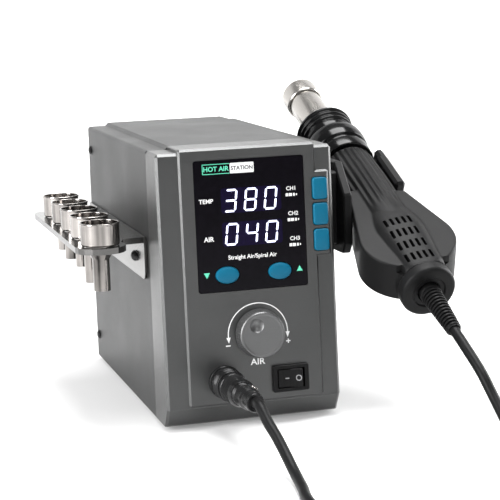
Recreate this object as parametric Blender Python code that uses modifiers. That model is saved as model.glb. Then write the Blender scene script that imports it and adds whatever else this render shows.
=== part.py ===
"""Hot air station: a desktop power case, spare nozzles on a side rack and a blower handset in a side cradle.

Lengths are in millimetres until a mesh is made, where MM turns them into metres. X runs to the right
seen from the front, Y runs to the back, and Z runs up from the table.
"""
import math

import bmesh
import bpy
from mathutils import Matrix, Vector

MM = 0.001
GAP = 0.3                      # left between neighbouring pieces

# Where the case stands: its centre line and the foot of its front, seen from the model's origin
CASE_X, CASE_Y = -11.59, -65.78

# Case
FOOT_HEIGHT = 2.0
WIDTH, DEPTH, HEIGHT = 99.0, 199.0, 150.0
HALF = WIDTH / 2
WALL = 2.5                     # moulded front
SHEET = 1.2                    # folded steel
SKIRT = 10.7                   # height of the undercut below the front
SKIRT_BACK = 6.7
LEAN = math.radians(2.6)       # the front leans back
BEZEL_DEPTH = 31.0
RAISE = 1.3                    # how far the middle field stands proud
FIELD_LEFT, FIELD_RIGHT = -37.3, 39.6
FIELD_TOP, FIELD_BOTTOM = HEIGHT + 1.9, 11.4
KEY_FIELD_RIGHT, KEY_FIELD_LOW, KEY_FIELD_HIGH = 47.2, 89.3, 136.6

# Front controls: x across and z up the case
LENS_X, LENS_Z, LENS_WIDE, LENS_HIGH = 1.8, 109.5, 61.6, 71.4
DIGITS_X, TEMP_Z, AIR_Z, DIGITS_WIDE, DIGITS_HIGH = 2.8, 122.4, 104.6, 37.0, 17.2
KEY_X, KEY_Z, KEY_WIDE, KEY_HIGH = 41.6, (126.5, 112.4, 98.2), 8.4, 12.0
OVAL_X, OVAL_Z, OVAL_WIDE, OVAL_HIGH = (-12.8, 17.0), 82.7, 13.2, 9.2
KNOB_X, KNOB_Z, KNOB_RADIUS = 3.5, 49.5, 13.6
ROCKER_X, ROCKER_Z, ROCKER_ON = 20.3, 23.1, math.radians(10)
SOCKET_X, SOCKET_Z, PLUG_END = -17.1, 24.3, 58.0

# Nozzle rack
SHELF_TOP, SHELF_DROP, SHELF_EDGE = 101.7, 3.3, -92.5
NOZZLE_X, NOZZLE_FRONT, NOZZLE_PITCH = -78.7, 19.6, 30.6
CUP_RADIUS, CUP_HEIGHT, SEAT_RADIUS = 10.5, 12.7, 9.6
NOZZLES = ((4.6, 77.0), (3.6, 76.3), (3.1, 80.4), (4.0, 80.3), (3.0, 81.0))   # tube radius, lowest z
RACK_SCREW_Y, RACK_SCREW_Z = (58.5, 166.0), 88.0

# Handset, in its own frame: X to its right, Y from the tail cap to the nozzle, Z out of its upper face
TAIL = (88.7, -34.0, 72.3)
HAND_TURN, HAND_RISE, HAND_ROLL = math.radians(2.4), math.radians(26.0), math.radians(7.5)
GRIP = ((5.3, 14.4), (20, 15.2), (60, 16.2), (96, 16.3), (118, 15.9), (126, 15.3))    # station, radius
BLOWER_X, BLOWER_Y, BLOWER_RADIUS, BLOWER_LOW, BLOWER_HIGH = 0.6, 32.3, 26.7, -10.0, 12.6
GRIP_END, RING_END, GUARD_END, MOUTH = 126.0, 150.0, 167.5, 215.0
TUBE_RADIUS, MOUTH_RADIUS = 10.2, 11.5
CAP_END, RELIEF_END = -2.2, -36.0

# Cradle, in the handset's frame without its roll
TROUGH_START, TROUGH_END, ARM_END = 93.0, 125.0, 132.0
TROUGH_RADIUS, ARM_INNER, ARM_OUTER, ARM_TOP = 17.2, 17.2, 23.8, 8.2

# Cord: its diameter, the coil's place and the points that its two free stretches pass through
CORD = 5.6
COIL_X, COIL_Y, COIL_INNER, COIL_OUTER, COIL_HIGH = 131.0, -160.0, 20.3, 39.0, 11.7
HANDSET_ROUTE = ((92.9, -93.0, 42.2), (94.9, -103.0, 32.0), (96.0, -113.0, 23.4), (96.2, -122.0, 16.8),
                 (95.6, -130.5, 12.2), (95.0, -138.3, 9.5))
PLUG_ROUTE = ((-15.6, -76.5, 22.6), (-14.0, -84.0, 17.8), (-12.6, -92.0, 12.2), (-11.8, -102.0, 6.6),
              (-12.0, -112.0, 3.5), (-14.0, -126.0, 3.0), (-16.8, -140.0, 3.0), (-17.4, -154.0, 3.0),
              (-13.6, -171.0, 3.0),
              (-3.0, -186.0, 3.0), (14.0, -199.0, 3.0), (36.0, -204.0, 3.0), (58.0, -199.0, 3.0),
              (75.0, -186.0, 3.0), (84.0, -170.5, 3.0), (88.8, -161.0, 3.0))


# ---------------------------------------------------------------- scene and materials

def new_collection(name):
    collection = bpy.data.collections.new(name)
    bpy.context.scene.collection.children.link(collection)
    return collection


for leftover in list(bpy.data.objects):
    bpy.data.objects.remove(leftover, do_unlink=True)
PARTS = new_collection("hot_air_station")
CUTTERS = new_collection("cutters")


def finish(name, colour, roughness, metallic=0.0):
    """A material with one colour, roughness and metallic value."""
    material = bpy.data.materials.new(name)
    material.use_nodes = True
    shader = material.node_tree.nodes["Principled BSDF"]
    shader.inputs["Base Color"].default_value = (*colour, 1.0)
    shader.inputs["Roughness"].default_value = roughness
    shader.inputs["Metallic"].default_value = metallic
    return material


COATED = finish("grey_coating", (0.16, 0.165, 0.165), 0.5, 0.4)
STEEL = finish("bare_steel", (0.62, 0.62, 0.62), 0.3, 1.0)
BRIGHT = finish("polished_steel", (0.78, 0.76, 0.74), 0.16, 1.0)
BLACK = finish("black_plastic", (0.02, 0.02, 0.021), 0.45)
GLOSS = finish("gloss_black", (0.01, 0.01, 0.012), 0.08)
DARK_METAL = finish("black_metal", (0.03, 0.03, 0.032), 0.25, 0.7)
BLUE = finish("blue_plastic", (0.03, 0.33, 0.48), 0.35)
KNOB_GREY = finish("knob_grey", (0.2, 0.205, 0.205), 0.42, 0.3)
RUBBER = finish("black_rubber", (0.02, 0.02, 0.02), 0.7)
BOARD = finish("circuit_board", (0.02, 0.16, 0.07), 0.45)
DISPLAY = finish("display_face", (0.03, 0.03, 0.06), 0.3)
CERAMIC = finish("ceramic", (0.72, 0.68, 0.6), 0.7)
COPPER = finish("transformer_core", (0.25, 0.2, 0.16), 0.5, 0.4)


# ---------------------------------------------------------------- shape tools

def place(part, parent=None, at=(0, 0, 0), turn=(0, 0, 0), guide=False):
    """Put an object in its collection, under its parent, at a place and rotation in the parent's frame."""
    (CUTTERS if guide else PARTS).objects.link(part)
    part.parent = parent
    part.location = Vector(at) * MM
    part.rotation_euler = turn
    if guide:
        part.hide_render = True
        part.display_type = "WIRE"
    return part


def frame(name, parent=None, at=(0, 0, 0), turn=(0, 0, 0)):
    return place(bpy.data.objects.new(name, None), parent, at, turn)


def mesh_part(name, bm, material, **where):
    mesh = bpy.data.meshes.new(name)
    bm.to_mesh(mesh)
    bm.free()
    mesh.materials.append(material)
    return place(bpy.data.objects.new(name, mesh), **where)


def smooth(part, angle=30):
    part.data.shade_smooth()
    part.data.set_sharp_from_angle(angle=math.radians(angle))
    return part


def chamfer(part, width, segments=1):
    """Break every edge sharper than 35 degrees."""
    bevel = part.modifiers.new("chamfer", "BEVEL")
    bevel.width = width * MM
    bevel.segments = segments
    bevel.limit_method = "ANGLE"
    bevel.angle_limit = math.radians(35)
    part.modifiers.new("flat_faces", "TRIANGULATE")
    return part


def box(name, low, high, material=BLACK, edge=0.0, edge_segments=1, **where):
    """A block between two corners."""
    bm = bmesh.new()
    bmesh.ops.create_cube(bm, size=1.0)
    size = Vector(high) - Vector(low)
    middle = (Vector(high) + Vector(low)) / 2
    bmesh.ops.scale(bm, vec=size * MM, verts=bm.verts)
    bmesh.ops.translate(bm, vec=middle * MM, verts=bm.verts)
    part = mesh_part(name, bm, material, **where)
    return chamfer(part, edge, edge_segments) if edge else part


def cylinder(name, radius, low, high, material=BLACK, sides=24, **where):
    """A straight round bar along local Z."""
    bm = bmesh.new()
    bmesh.ops.create_cone(bm, cap_ends=True, segments=sides, radius1=radius * MM, radius2=radius * MM,
                          depth=(high - low) * MM)
    bmesh.ops.translate(bm, vec=(0, 0, (high + low) / 2 * MM), verts=bm.verts)
    return smooth(mesh_part(name, bm, material, **where))


def turned(name, profile, material=BLACK, sides=20, **where):
    """Turn (radius, height) points about local Z. They run down the outer side; a profile off the axis closes."""
    bm = bmesh.new()
    points = [bm.verts.new((radius * MM, 0, height * MM)) for radius, height in profile]
    for first, second in zip(points, points[1:]):
        bm.edges.new((first, second))
    if profile[0][0] > 0:
        bm.edges.new((points[-1], points[0]))
    part = mesh_part(name, bm, material, **where)
    screw = part.modifiers.new("turn", "SCREW")
    screw.steps = sides
    screw.render_steps = sides
    screw.use_merge_vertices = True
    screw.merge_threshold = 0.00001
    screw.use_smooth_shade = True
    return part


def slab(name, outline, low, high, material=BLACK, edge=0.0, edge_segments=1, **where):
    """A flat outline in local X and Y, from height low to height high."""
    curve = bpy.data.curves.new(name, "CURVE")
    curve.dimensions = "2D"
    curve.fill_mode = "BOTH"
    curve.extrude = (high - low) / 2 * MM
    line = curve.splines.new("POLY")
    line.points.add(len(outline) - 1)
    for point, (x, y) in zip(line.points, outline):
        point.co = (x * MM, y * MM, 0, 1)
    line.use_cyclic_u = True
    sheet = place(bpy.data.objects.new(name + "_outline", curve))
    mesh = bpy.data.meshes.new_from_object(sheet.evaluated_get(bpy.context.evaluated_depsgraph_get()))
    bpy.data.objects.remove(sheet, do_unlink=True)
    bm = bmesh.new()
    bm.from_mesh(mesh)
    bpy.data.meshes.remove(mesh)
    bmesh.ops.remove_doubles(bm, verts=bm.verts, dist=0.000001)
    bmesh.ops.translate(bm, vec=(0, 0, (high + low) / 2 * MM), verts=bm.verts)
    part = mesh_part(name, bm, material, **where)
    return chamfer(part, edge, edge_segments) if edge else part


def combine(part, other, how):
    boolean = part.modifiers.new(how.lower(), "BOOLEAN")
    boolean.operation = how
    boolean.solver = "EXACT"
    boolean.object = other
    return part


def cut(part, *others):
    for other in others:
        combine(part, other, "DIFFERENCE")
    return part


def join(part, *others):
    for other in others:
        combine(part, other, "UNION")
    return part


def arc(x, y, radius, start, end, steps):
    """Points on a circle from one angle to another, in degrees."""
    angles = [math.radians(start + (end - start) * i / steps) for i in range(steps + 1)]
    return [(x + radius * math.cos(a), y + radius * math.sin(a)) for a in angles]


def rounded(width, height, radius, x=0.0, y=0.0, steps=4):
    """A rectangle with round corners about (x, y)."""
    across, up = width / 2 - radius, height / 2 - radius
    corners = ((across, up, 0), (-across, up, 90), (-across, -up, 180), (across, -up, 270))
    return [p for cx, cy, start in corners for p in arc(x + cx, y + cy, radius, start, start + 90, steps)]


def oval(width, height, x=0.0, y=0.0, steps=20):
    angles = [2 * math.pi * i / steps for i in range(steps)]
    return [(x + width / 2 * math.cos(a), y + height / 2 * math.sin(a)) for a in angles]


def smooth_route(points, spacing):
    """Evenly spaced points on a Catmull-Rom curve through the given points."""
    ends = [points[0] * 2 - points[1], *points, points[-1] * 2 - points[-2]]
    fine = []
    for a, b, c, d in zip(ends, ends[1:], ends[2:], ends[3:]):
        for step in range(24):
            t = step / 24
            fine.append(0.5 * (2 * b + (c - a) * t + (2 * a - 5 * b + 4 * c - d) * t ** 2
                               + (3 * b - a - 3 * c + d) * t ** 3))
    fine.append(points[-1])
    lengths = [(b - a).length for a, b in zip(fine, fine[1:])]
    count = max(2, round(sum(lengths) / spacing))
    wanted, route, travelled = 0.0, [], 0.0
    for start, end, length in zip(fine, fine[1:], lengths):
        while wanted <= travelled + length and len(route) < count:
            route.append(start.lerp(end, (wanted - travelled) / length))
            wanted = len(route) * sum(lengths) / count
        travelled += length
    return route + [fine[-1]]


def tube(name, points, radius, material=RUBBER, **where):
    """A cord along the given points."""
    curve = bpy.data.curves.new(name, "CURVE")
    curve.dimensions = "3D"
    curve.bevel_depth = radius * MM
    curve.bevel_resolution = 2
    curve.use_fill_caps = True
    curve.render_resolution_u = 0
    line = curve.splines.new("POLY")
    line.points.add(len(points) - 1)
    for point, place_mm in zip(line.points, points):
        point.co = (*(place_mm * MM), 1)
    curve.materials.append(material)
    return place(bpy.data.objects.new(name, curve), **where)


# ---------------------------------------------------------------- frames

STATION = frame("station", at=(CASE_X, CASE_Y, FOOT_HEIGHT))
FRONT = frame("front_plane", STATION, (0, 0, SKIRT), (math.pi / 2 - LEAN, 0, 0))
HAND = frame("handset_frame", STATION, TAIL, (HAND_RISE, 0, HAND_TURN))
ALONG_X = (math.pi / 2, 0, math.pi / 2)        # turns local X, Y, Z to the station's Y, Z, X
ALONG_Y = (-math.pi / 2, 0, 0)                 # turns local Z to Y


def up_front(z):
    """A height on the case as a distance up the leaning front."""
    return (z - SKIRT) / math.cos(LEAN)


def front_y(z, out=0.0):
    """How far back the front plane is at a height, less a distance out of it."""
    return (z - SKIRT) * math.tan(LEAN) - out / math.cos(LEAN)


# ---------------------------------------------------------------- case

def side_slice(name, points, left, right, **options):
    """A (y, z) outline drawn from the side and carried across the case."""
    return slab(name, points, left, right, parent=STATION, turn=ALONG_X, **options)


def front_bezel():
    """The moulded front: side strips, a proud middle field and openings for every control."""
    behind = BEZEL_DEPTH + 12
    strip_foot = (front_y(SKIRT, -RAISE), SKIRT)
    strip_head = (front_y(HEIGHT, -RAISE), HEIGHT)
    bezel = side_slice("front_bezel", [(SKIRT_BACK + RAISE, 0), (behind, 0), (behind, HEIGHT), strip_head,
                                       strip_foot], -HALF, HALF, material=COATED, edge=1.4)
    left, right, wide = FIELD_LEFT, FIELD_RIGHT, KEY_FIELD_RIGHT
    foot, head, low, high = [up_front(z) for z in (FIELD_BOTTOM, FIELD_TOP, KEY_FIELD_LOW, KEY_FIELD_HIGH)]
    field = slab("field", [(left, foot), (right, foot), (right, low), (wide, low), (wide, high), (right, high),
                           (right, head), (left, head)], -6.3, 0, edge=1.1, parent=FRONT, guide=True)
    wrap = side_slice("field_wrap", [(front_y(140, -0.7), 140), (behind + 2, 140), (behind + 2, FIELD_TOP),
                                     (front_y(FIELD_TOP, -0.7), FIELD_TOP)], left + 0.1, right - 0.1, edge=1.1, guide=True)
    back = box("bezel_back", (-60, BEZEL_DEPTH, -5), (60, behind + 5, 160), parent=STATION, guide=True)
    inner_foot, inner_head = front_y(12, -3.9), front_y(HEIGHT - WALL, -3.9)
    hollow = side_slice("bezel_hollow", [(SKIRT_BACK + 4, WALL), (50, WALL), (50, HEIGHT - WALL),
                                         (inner_head, HEIGHT - WALL), (inner_foot, 12)],
                        WALL - HALF, HALF - WALL, guide=True)
    join(bezel, wrap, field)
    cut(bezel, hollow, back)
    for i, (x, z) in enumerate(((-25.5, 143.0), (-25.5, 90.0), (30.5, 90.0), (30.5, 143.0))):
        post = cylinder(f"board_post_{i}", 2.2, -7.7, -2.5, sides=10, parent=FRONT, at=(x, up_front(z), 0),
                        guide=True)
        join(bezel, post)
    cut(bezel, *front_openings())
    return smooth(bezel)


def front_openings():
    """Cutters for the lens recess, the display window, the keys, the encoder, the rocker and the socket."""
    common = {"parent": FRONT, "guide": True}
    yield slab("lens_recess", rounded(LENS_WIDE + 2 * GAP, LENS_HIGH + 2 * GAP, 1.4, LENS_X, up_front(LENS_Z)),
               -1.6, 4, **common)
    window_z = (TEMP_Z + AIR_Z) / 2
    yield slab("display_window", rounded(DIGITS_WIDE + 1.2, 2 * DIGITS_HIGH + 2.4, 0.6, DIGITS_X,
                                         up_front(window_z), 1), -9, 4, **common)
    for i, z in enumerate(KEY_Z):
        yield slab(f"key_hole_{i}", rounded(KEY_WIDE + 0.8, KEY_HIGH + 0.8, 1.8, KEY_X, up_front(z)), -9, 4,
                   **common)
    for i, x in enumerate(OVAL_X):
        yield slab(f"oval_hole_{i}", oval(OVAL_WIDE + 0.8, OVAL_HIGH + 0.8, x, up_front(OVAL_Z)), -9, 4,
                   **common)
    yield cylinder("encoder_hole", 3.9, -9, 4, at=(KNOB_X, up_front(KNOB_Z), 0), sides=16, **common)
    yield slab("rocker_hole", rounded(19.6, 13.4, 0.6, ROCKER_X, up_front(ROCKER_Z), 1), -9, 4, **common)
    yield cylinder("socket_hole", 7.5, -9, 4, at=(SOCKET_X, up_front(SOCKET_Z), 0), **common)


def folded_section(left, right, foot, top, band_top, corner, step):
    """The case's section: two sides, rounded shoulders and a raised band with sloped flanks."""
    return ([(left, foot)] + arc(left + corner, top - corner, corner, 180, 90, 3)
            + [(FIELD_LEFT - step, top), (FIELD_LEFT + step, band_top), (FIELD_RIGHT - step, band_top),
               (FIELD_RIGHT + step, top)] + arc(right - corner, top - corner, corner, 90, 0, 3) + [(right, foot)])


def cover():
    """The folded sheet-steel cover: both sides and the top, open below and at both ends."""
    outside = folded_section(-HALF, HALF, 0.4, HEIGHT, FIELD_TOP, 1.8, 1.0)
    inside = folded_section(SHEET - HALF, HALF - SHEET, 0.4, HEIGHT - SHEET, FIELD_TOP - SHEET, 0.9, 0.6)
    outline = outside + inside[::-1]
    shell = slab("cover", outline, -DEPTH, -BEZEL_DEPTH - GAP, material=COATED, parent=STATION,
                 turn=(math.pi / 2, 0, 0))
    for i, (y, z) in enumerate(screw_places_left()):
        cut(shell, cylinder(f"left_screw_hole_{i}", 1.9, -52, -44, sides=10, parent=STATION, at=(0, y, z),
                            turn=(0, math.pi / 2, 0), guide=True))
    for i, (y, z) in enumerate(CRADLE_SCREWS):
        cut(shell, cylinder(f"right_screw_hole_{i}", 1.9, 44, 52, sides=10, parent=STATION, at=(0, y, z),
                            turn=(0, math.pi / 2, 0), guide=True))
    return smooth(shell)


COVER_SCREWS = ((191.0, 135.5), (191.0, 15.4))
CRADLE_SCREWS = ((44.0, 98.0), (44.0, 124.0))


def screw_places_left():
    return [(y, RACK_SCREW_Z) for y in RACK_SCREW_Y] + list(COVER_SCREWS)


def base_tray():
    """The floor of the case with side flanges and four board posts."""
    front, back = BEZEL_DEPTH + GAP, 195.4
    tray = box("base_tray", (-47.9, front, 0), (47.9, back, SHEET), STEEL, parent=STATION)
    for i, side in enumerate((-1, 1)):
        inner, outer = sorted((side * 46.7, side * 47.9))
        join(tray, box(f"tray_flange_{i}", (inner, front, SHEET / 2), (outer, back, 12), parent=STATION, guide=True))
    for i, (x, y) in enumerate(((-34, 64), (34, 64), (-34, 112), (34, 112))):
        join(tray, cylinder(f"tray_post_{i}", 2.6, SHEET / 2, 7.0, sides=8, parent=STATION, at=(x, y, 0), guide=True))
    return tray


def rear_panel():
    """The plate that closes the back, with vents above the mains inlet's opening."""
    outline = [(-47.9, 0.4), (47.9, 0.4), (47.9, 147.6), (FIELD_RIGHT - 3, 147.6), (FIELD_RIGHT - 4.5, 150.0),
               (FIELD_LEFT + 4.5, 150.0), (FIELD_LEFT + 3, 147.6), (-47.9, 147.6)]
    panel = slab("rear_panel", outline, -197.0, -195.8, material=COATED, parent=STATION, turn=(math.pi / 2, 0, 0))
    cut(panel, box("inlet_opening", (-14.2, 190, 18.6), (14.2, 200, 56.4), parent=STATION, guide=True))
    for row in range(6):
        z = 84 + 8 * row
        cut(panel, box(f"vent_{row}", (-30, 190, z), (30, 200, z + 3.2), parent=STATION, guide=True))
    return panel


def feet():
    for name, x, y in (("front_left", -38, 42), ("front_right", 38, 42), ("rear_left", -38, 184),
                       ("rear_right", 38, 184)):
        turned(f"foot_{name}", [(0, -GAP), (5.5, -GAP), (5.0, -FOOT_HEIGHT), (0, -FOOT_HEIGHT)], RUBBER, 16,
               parent=STATION, at=(x, y, 0))


def screw(name, at, turn, head=3.0, rise=2.0, material=STEEL, reach=4.0, hole=1.5):
    """A round-headed screw; local Z points out of the head and its seat is at zero."""
    profile = [(0, rise), (head * 0.55, rise * 0.85), (head * 0.9, rise * 0.45), (head, 0), (hole, 0),
               (hole, -reach), (0, -reach)]
    return turned(name, profile, material, 12, parent=STATION, at=at, turn=turn)


# ---------------------------------------------------------------- front controls

def display():
    """The black lens, its circuit board with the key switches, and the two digit modules."""
    middle = up_front(LENS_Z)
    lens = slab("display_lens", rounded(LENS_WIDE, LENS_HIGH, 1.1, LENS_X, middle), -1.3, 0.15, GLOSS, parent=FRONT)
    for i, x in enumerate(OVAL_X):
        cut(lens, slab(f"lens_hole_{i}", oval(OVAL_WIDE + 0.8, OVAL_HIGH + 0.8, x, up_front(OVAL_Z)), -3, 3,
                       parent=FRONT, guide=True))
    board = box("display_board", (-29, up_front(74.5), -9.6), (46, up_front(146), -8.0), BOARD, parent=FRONT)
    switches = [(KEY_X, z) for z in KEY_Z] + [(x, OVAL_Z) for x in OVAL_X]
    for i, (x, z) in enumerate(switches):
        join(board, box(f"key_switch_{i}", (x - 3, up_front(z) - 3, -8.8), (x + 3, up_front(z) + 3, -6.6),
                        parent=FRONT, guide=True))
    for name, z in (("led_digits_temperature", TEMP_Z), ("led_digits_air", AIR_Z)):
        low, high = up_front(z) - DIGITS_HIGH / 2, up_front(z) + DIGITS_HIGH / 2
        box(name, (DIGITS_X - DIGITS_WIDE / 2, low, -7.7), (DIGITS_X + DIGITS_WIDE / 2, high, -1.9), DISPLAY,
            parent=FRONT)


def key(name, outline, flange, x, z, top):
    """A push button: a stem through the panel and a wider flange behind it."""
    cap = slab(name, outline, -4.8, top, BLUE, edge=0.5, parent=FRONT, at=(x, up_front(z), 0))
    join(cap, slab(name + "_flange", flange, -5.4, -4.2, parent=FRONT, at=(x, up_front(z), 0), guide=True))
    return smooth(cap)


def keys():
    for number, z in enumerate(KEY_Z, start=1):
        key(f"key_channel_{number}", rounded(KEY_WIDE, KEY_HIGH, 1.5), rounded(9.6, 13.2, 1.5, steps=1), KEY_X, z, 1.6)
    for name, x in zip(("key_down", "key_up"), OVAL_X):
        key(name, oval(OVAL_WIDE, OVAL_HIGH), oval(14.6, 10.6, steps=12), x, OVAL_Z, 0.9)


def knob():
    """The air knob with its finger dimple, the encoder's shaft, and the encoder."""
    at = (KNOB_X, up_front(KNOB_Z), 0)
    dial = turned("air_knob", [(0, 8.1), (10.7, 8.1), (11.1, 8.5), (11.9, 8.5), (12.4, 8.0), (KNOB_RADIUS, 1.2),
                               (KNOB_RADIUS, 0.6), (3.0, 0.6), (3.0, 6.4), (0, 6.4)], KNOB_GREY, 28,
                  parent=FRONT, at=at)
    bm = bmesh.new()
    bmesh.ops.create_uvsphere(bm, u_segments=14, v_segments=10, radius=5.4 * MM)
    cut(dial, mesh_part("finger_dimple", bm, BLACK, parent=FRONT, guide=True,
                        at=(at[0] - 3.2, at[1] + 5.3, 8.1 + 3.7)))
    smooth(dial, 25)
    cylinder("encoder_shaft", 2.7, -7.5, 6.1, STEEL, 16, parent=FRONT, at=at)
    encoder = turned("encoder", [(3.6, -0.3), (3.6, -4.3), (6.2, -4.3), (6.2, -10.6), (3.0, -10.6), (3.0, -0.3)],
                     STEEL, 20, parent=FRONT, at=at)
    smooth(encoder)


def power_switch():
    """The rocker switch's body, and its rocker resting with the on side pressed."""
    x, y = ROCKER_X, up_front(ROCKER_Z)
    body = slab("rocker_housing", rounded(20.6, 14.8, 0.8, x, y, 2), GAP, 2.1, BLACK, edge=0.4, parent=FRONT)
    join(body, slab("housing_body", rounded(19.0, 12.8, 0.4, x, y, 1), -14, 1.0, parent=FRONT, guide=True))
    cut(body, slab("rocker_well", rounded(15.7, 10.8, 0.4, x, y, 1), -6.5, 4, parent=FRONT, guide=True))
    outline = [(-6.8, 3.9), (-6.8, 1.0), (-2.6, -3.6), (2.6, -3.6), (6.8, 1.0), (6.8, 3.9), (3.6, 3.0), (0, 2.7),
               (-3.6, 3.0)]
    slab("rocker", outline, -5.1, 5.1, BLACK, edge=0.35, parent=FRONT, at=(x, y, -0.6),
         turn=(math.pi / 2, 0, 0)).rotation_euler = (Matrix.Rotation(ROCKER_ON, 3, "Y").inverted()
                                                     @ Matrix.Rotation(math.pi / 2, 3, "X")).to_euler()


def handset_plug():
    """The panel socket and nut, and the plug: coupling ring, shell and cable clamp."""
    where = {"parent": FRONT, "at": (SOCKET_X, up_front(SOCKET_Z), 0)}
    turned("handset_socket", [(7.6, 10.0), (7.6, 3.0), (8.9, 3.0), (9.2, 2.6), (9.2, GAP), (7.2, GAP), (7.2, -13.0),
                              (5.8, -13.0), (5.8, -3.0), (6.2, -3.0), (6.2, 10.0)], DARK_METAL, **where)
    turned("socket_nut", [(10.5, -4.3), (10.5, -6.8), (7.5, -6.8), (7.5, -4.3)], STEEL, 24, **where)
    turned("coupling_ring", [(8.2, 15.0), (8.6, 14.4), (8.6, 9.2), (8.0, 8.8), (8.0, 8.0), (8.6, 7.6), (8.6, 3.9),
                             (8.2, 3.3), (7.9, 3.3), (7.9, 12.0), (6.9, 12.0), (6.9, 15.0)], DARK_METAL, 20, **where)
    turned("plug_shell", [(0, 36.0), (6.6, 36.0), (7.6, 33.0), (7.8, 15.3), (6.6, 15.3), (6.6, 11.7), (7.5, 11.7),
                          (7.5, 10.3), (5.9, 10.3), (5.9, 0.5), (0, 0.5)], DARK_METAL, **where)
    turned("cable_clamp", [(0, PLUG_END), (4.8, PLUG_END), (5.0, 50.0), (6.0, 49.0), (6.2, 36.3), (0, 36.3)], DARK_METAL, 24,
           **where)


# ---------------------------------------------------------------- inside the case

def electronics():
    """The control board on the tray's posts, the transformer and the triac's heat sink."""
    box("main_board", (-40, 58, 7.3), (40, 118, 8.9), BOARD, parent=STATION)
    core = box("transformer", (-22, 132, SHEET + GAP), (22, 164, 38), COPPER, edge=1.0, parent=STATION)
    join(core, box("transformer_bobbin", (-13, 125, 8), (13, 171, 33), edge=3.0, parent=STATION, guide=True))
    sink = box("heat_sink", (-8, 84, 9.2), (30, 108, 12), STEEL, parent=STATION)
    for fin in range(5):
        x = -8 + 9 * fin
        join(sink, box(f"sink_fin_{fin}", (x, 84, 11), (x + 2, 108, 34), parent=STATION, guide=True))


def mains_inlet():
    """The appliance inlet in the rear panel, with a pull-out fuse drawer above the socket."""
    inlet = box("mains_inlet", (-17, 197.3, 16), (17, 199.2, 59), BLACK, edge=0.8, parent=STATION)
    join(inlet, box("inlet_body", (-13.8, 176, 19), (13.8, 198, 56), parent=STATION, guide=True))
    cut(inlet, slab("inlet_well", [(-12.2, 22), (12.2, 22), (12.2, 33.5), (7.7, 38), (-7.7, 38), (-12.2, 33.5)],
                    -202, -183, parent=STATION, turn=(math.pi / 2, 0, 0), guide=True))
    cut(inlet, box("fuse_slot", (-10.8, 180, 43.5), (10.8, 202, 52.5), parent=STATION, guide=True))
    box("fuse_drawer", (-10.5, 180.3, 43.8), (10.5, 199.6, 52.2), BLACK, parent=STATION)


# ---------------------------------------------------------------- nozzle rack

def nozzle_rack():
    """The bent steel shelf with a rim, a flange on the case's side and five round seats."""
    plate = 1.3
    last = NOZZLE_FRONT + 4 * NOZZLE_PITCH

    def shelf_outline(inset):
        reach = -SHELF_EDGE + NOZZLE_X - inset
        return ([(-50.5, 168 - inset), (-50.5, 36.5 + inset), (-63, 35 + inset)]
                + arc(NOZZLE_X, NOZZLE_FRONT, reach, 25, -180, 10)
                + arc(SHELF_EDGE + inset + 9, 168 - inset - 9, 9, 180, 90, 4))

    rack = slab("nozzle_rack", shelf_outline(0), SHELF_TOP - SHELF_DROP, SHELF_TOP, BRIGHT, parent=STATION)
    pocket = slab("shelf_pocket", shelf_outline(plate), SHELF_TOP - SHELF_DROP - 2, SHELF_TOP - plate,
                  parent=STATION, guide=True)
    flange = slab("rack_flange", [(36, SHELF_TOP), (36, 81.5), (37.4, 78.7), (40, 77.5), (190, 77.5), (195.5, 83), (195.5, SHELF_TOP)],
                  -HALF - GAP - 1.4, -HALF - GAP, parent=STATION, turn=ALONG_X, guide=True)
    cut(rack, pocket)
    join(rack, flange)
    for i in range(5):
        cut(rack, cylinder(f"seat_{i}", SEAT_RADIUS, 90, 110, sides=24, parent=STATION,
                           at=(NOZZLE_X, NOZZLE_FRONT + i * NOZZLE_PITCH, 0), guide=True))
    for i, y in enumerate(RACK_SCREW_Y):
        cut(rack, cylinder(f"flange_hole_{i}", 1.9, -54, -48, sides=10, parent=STATION, at=(0, y, RACK_SCREW_Z),
                           turn=(0, math.pi / 2, 0), guide=True))
        screw(f"rack_screw_{i + 1}", (-HALF - 2 * GAP - 1.4, y, RACK_SCREW_Z), (0, -math.pi / 2, 0), 3.2, 2.8,
              DARK_METAL, 7.0)
    assert last < 168
    return smooth(rack)


def spare_nozzles():
    """Thin stainless nozzles: a cup that seats on the shelf, a short cone and a straight tube below."""
    wall = 0.5
    for i, (radius, low) in enumerate(NOZZLES):
        seat, top = SHELF_TOP + GAP, SHELF_TOP + CUP_HEIGHT
        neck = SHELF_TOP - 7.5
        profile = [(CUP_RADIUS + 0.2, top), (CUP_RADIUS + 0.2, top - 1.2), (CUP_RADIUS, top - 1.5), (CUP_RADIUS, seat),
                   (SEAT_RADIUS - 0.4, seat), (radius, neck), (radius, low), (radius - wall, low),
                   (radius - wall, neck + 0.3), (SEAT_RADIUS - 1.0, seat + wall), (CUP_RADIUS - wall, seat + wall),
                   (CUP_RADIUS - wall, top)]
        turned(f"nozzle_{i + 1}", profile, BRIGHT, 18, parent=STATION,
               at=(NOZZLE_X, NOZZLE_FRONT + i * NOZZLE_PITCH, 0))


# ---------------------------------------------------------------- cradle

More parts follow.
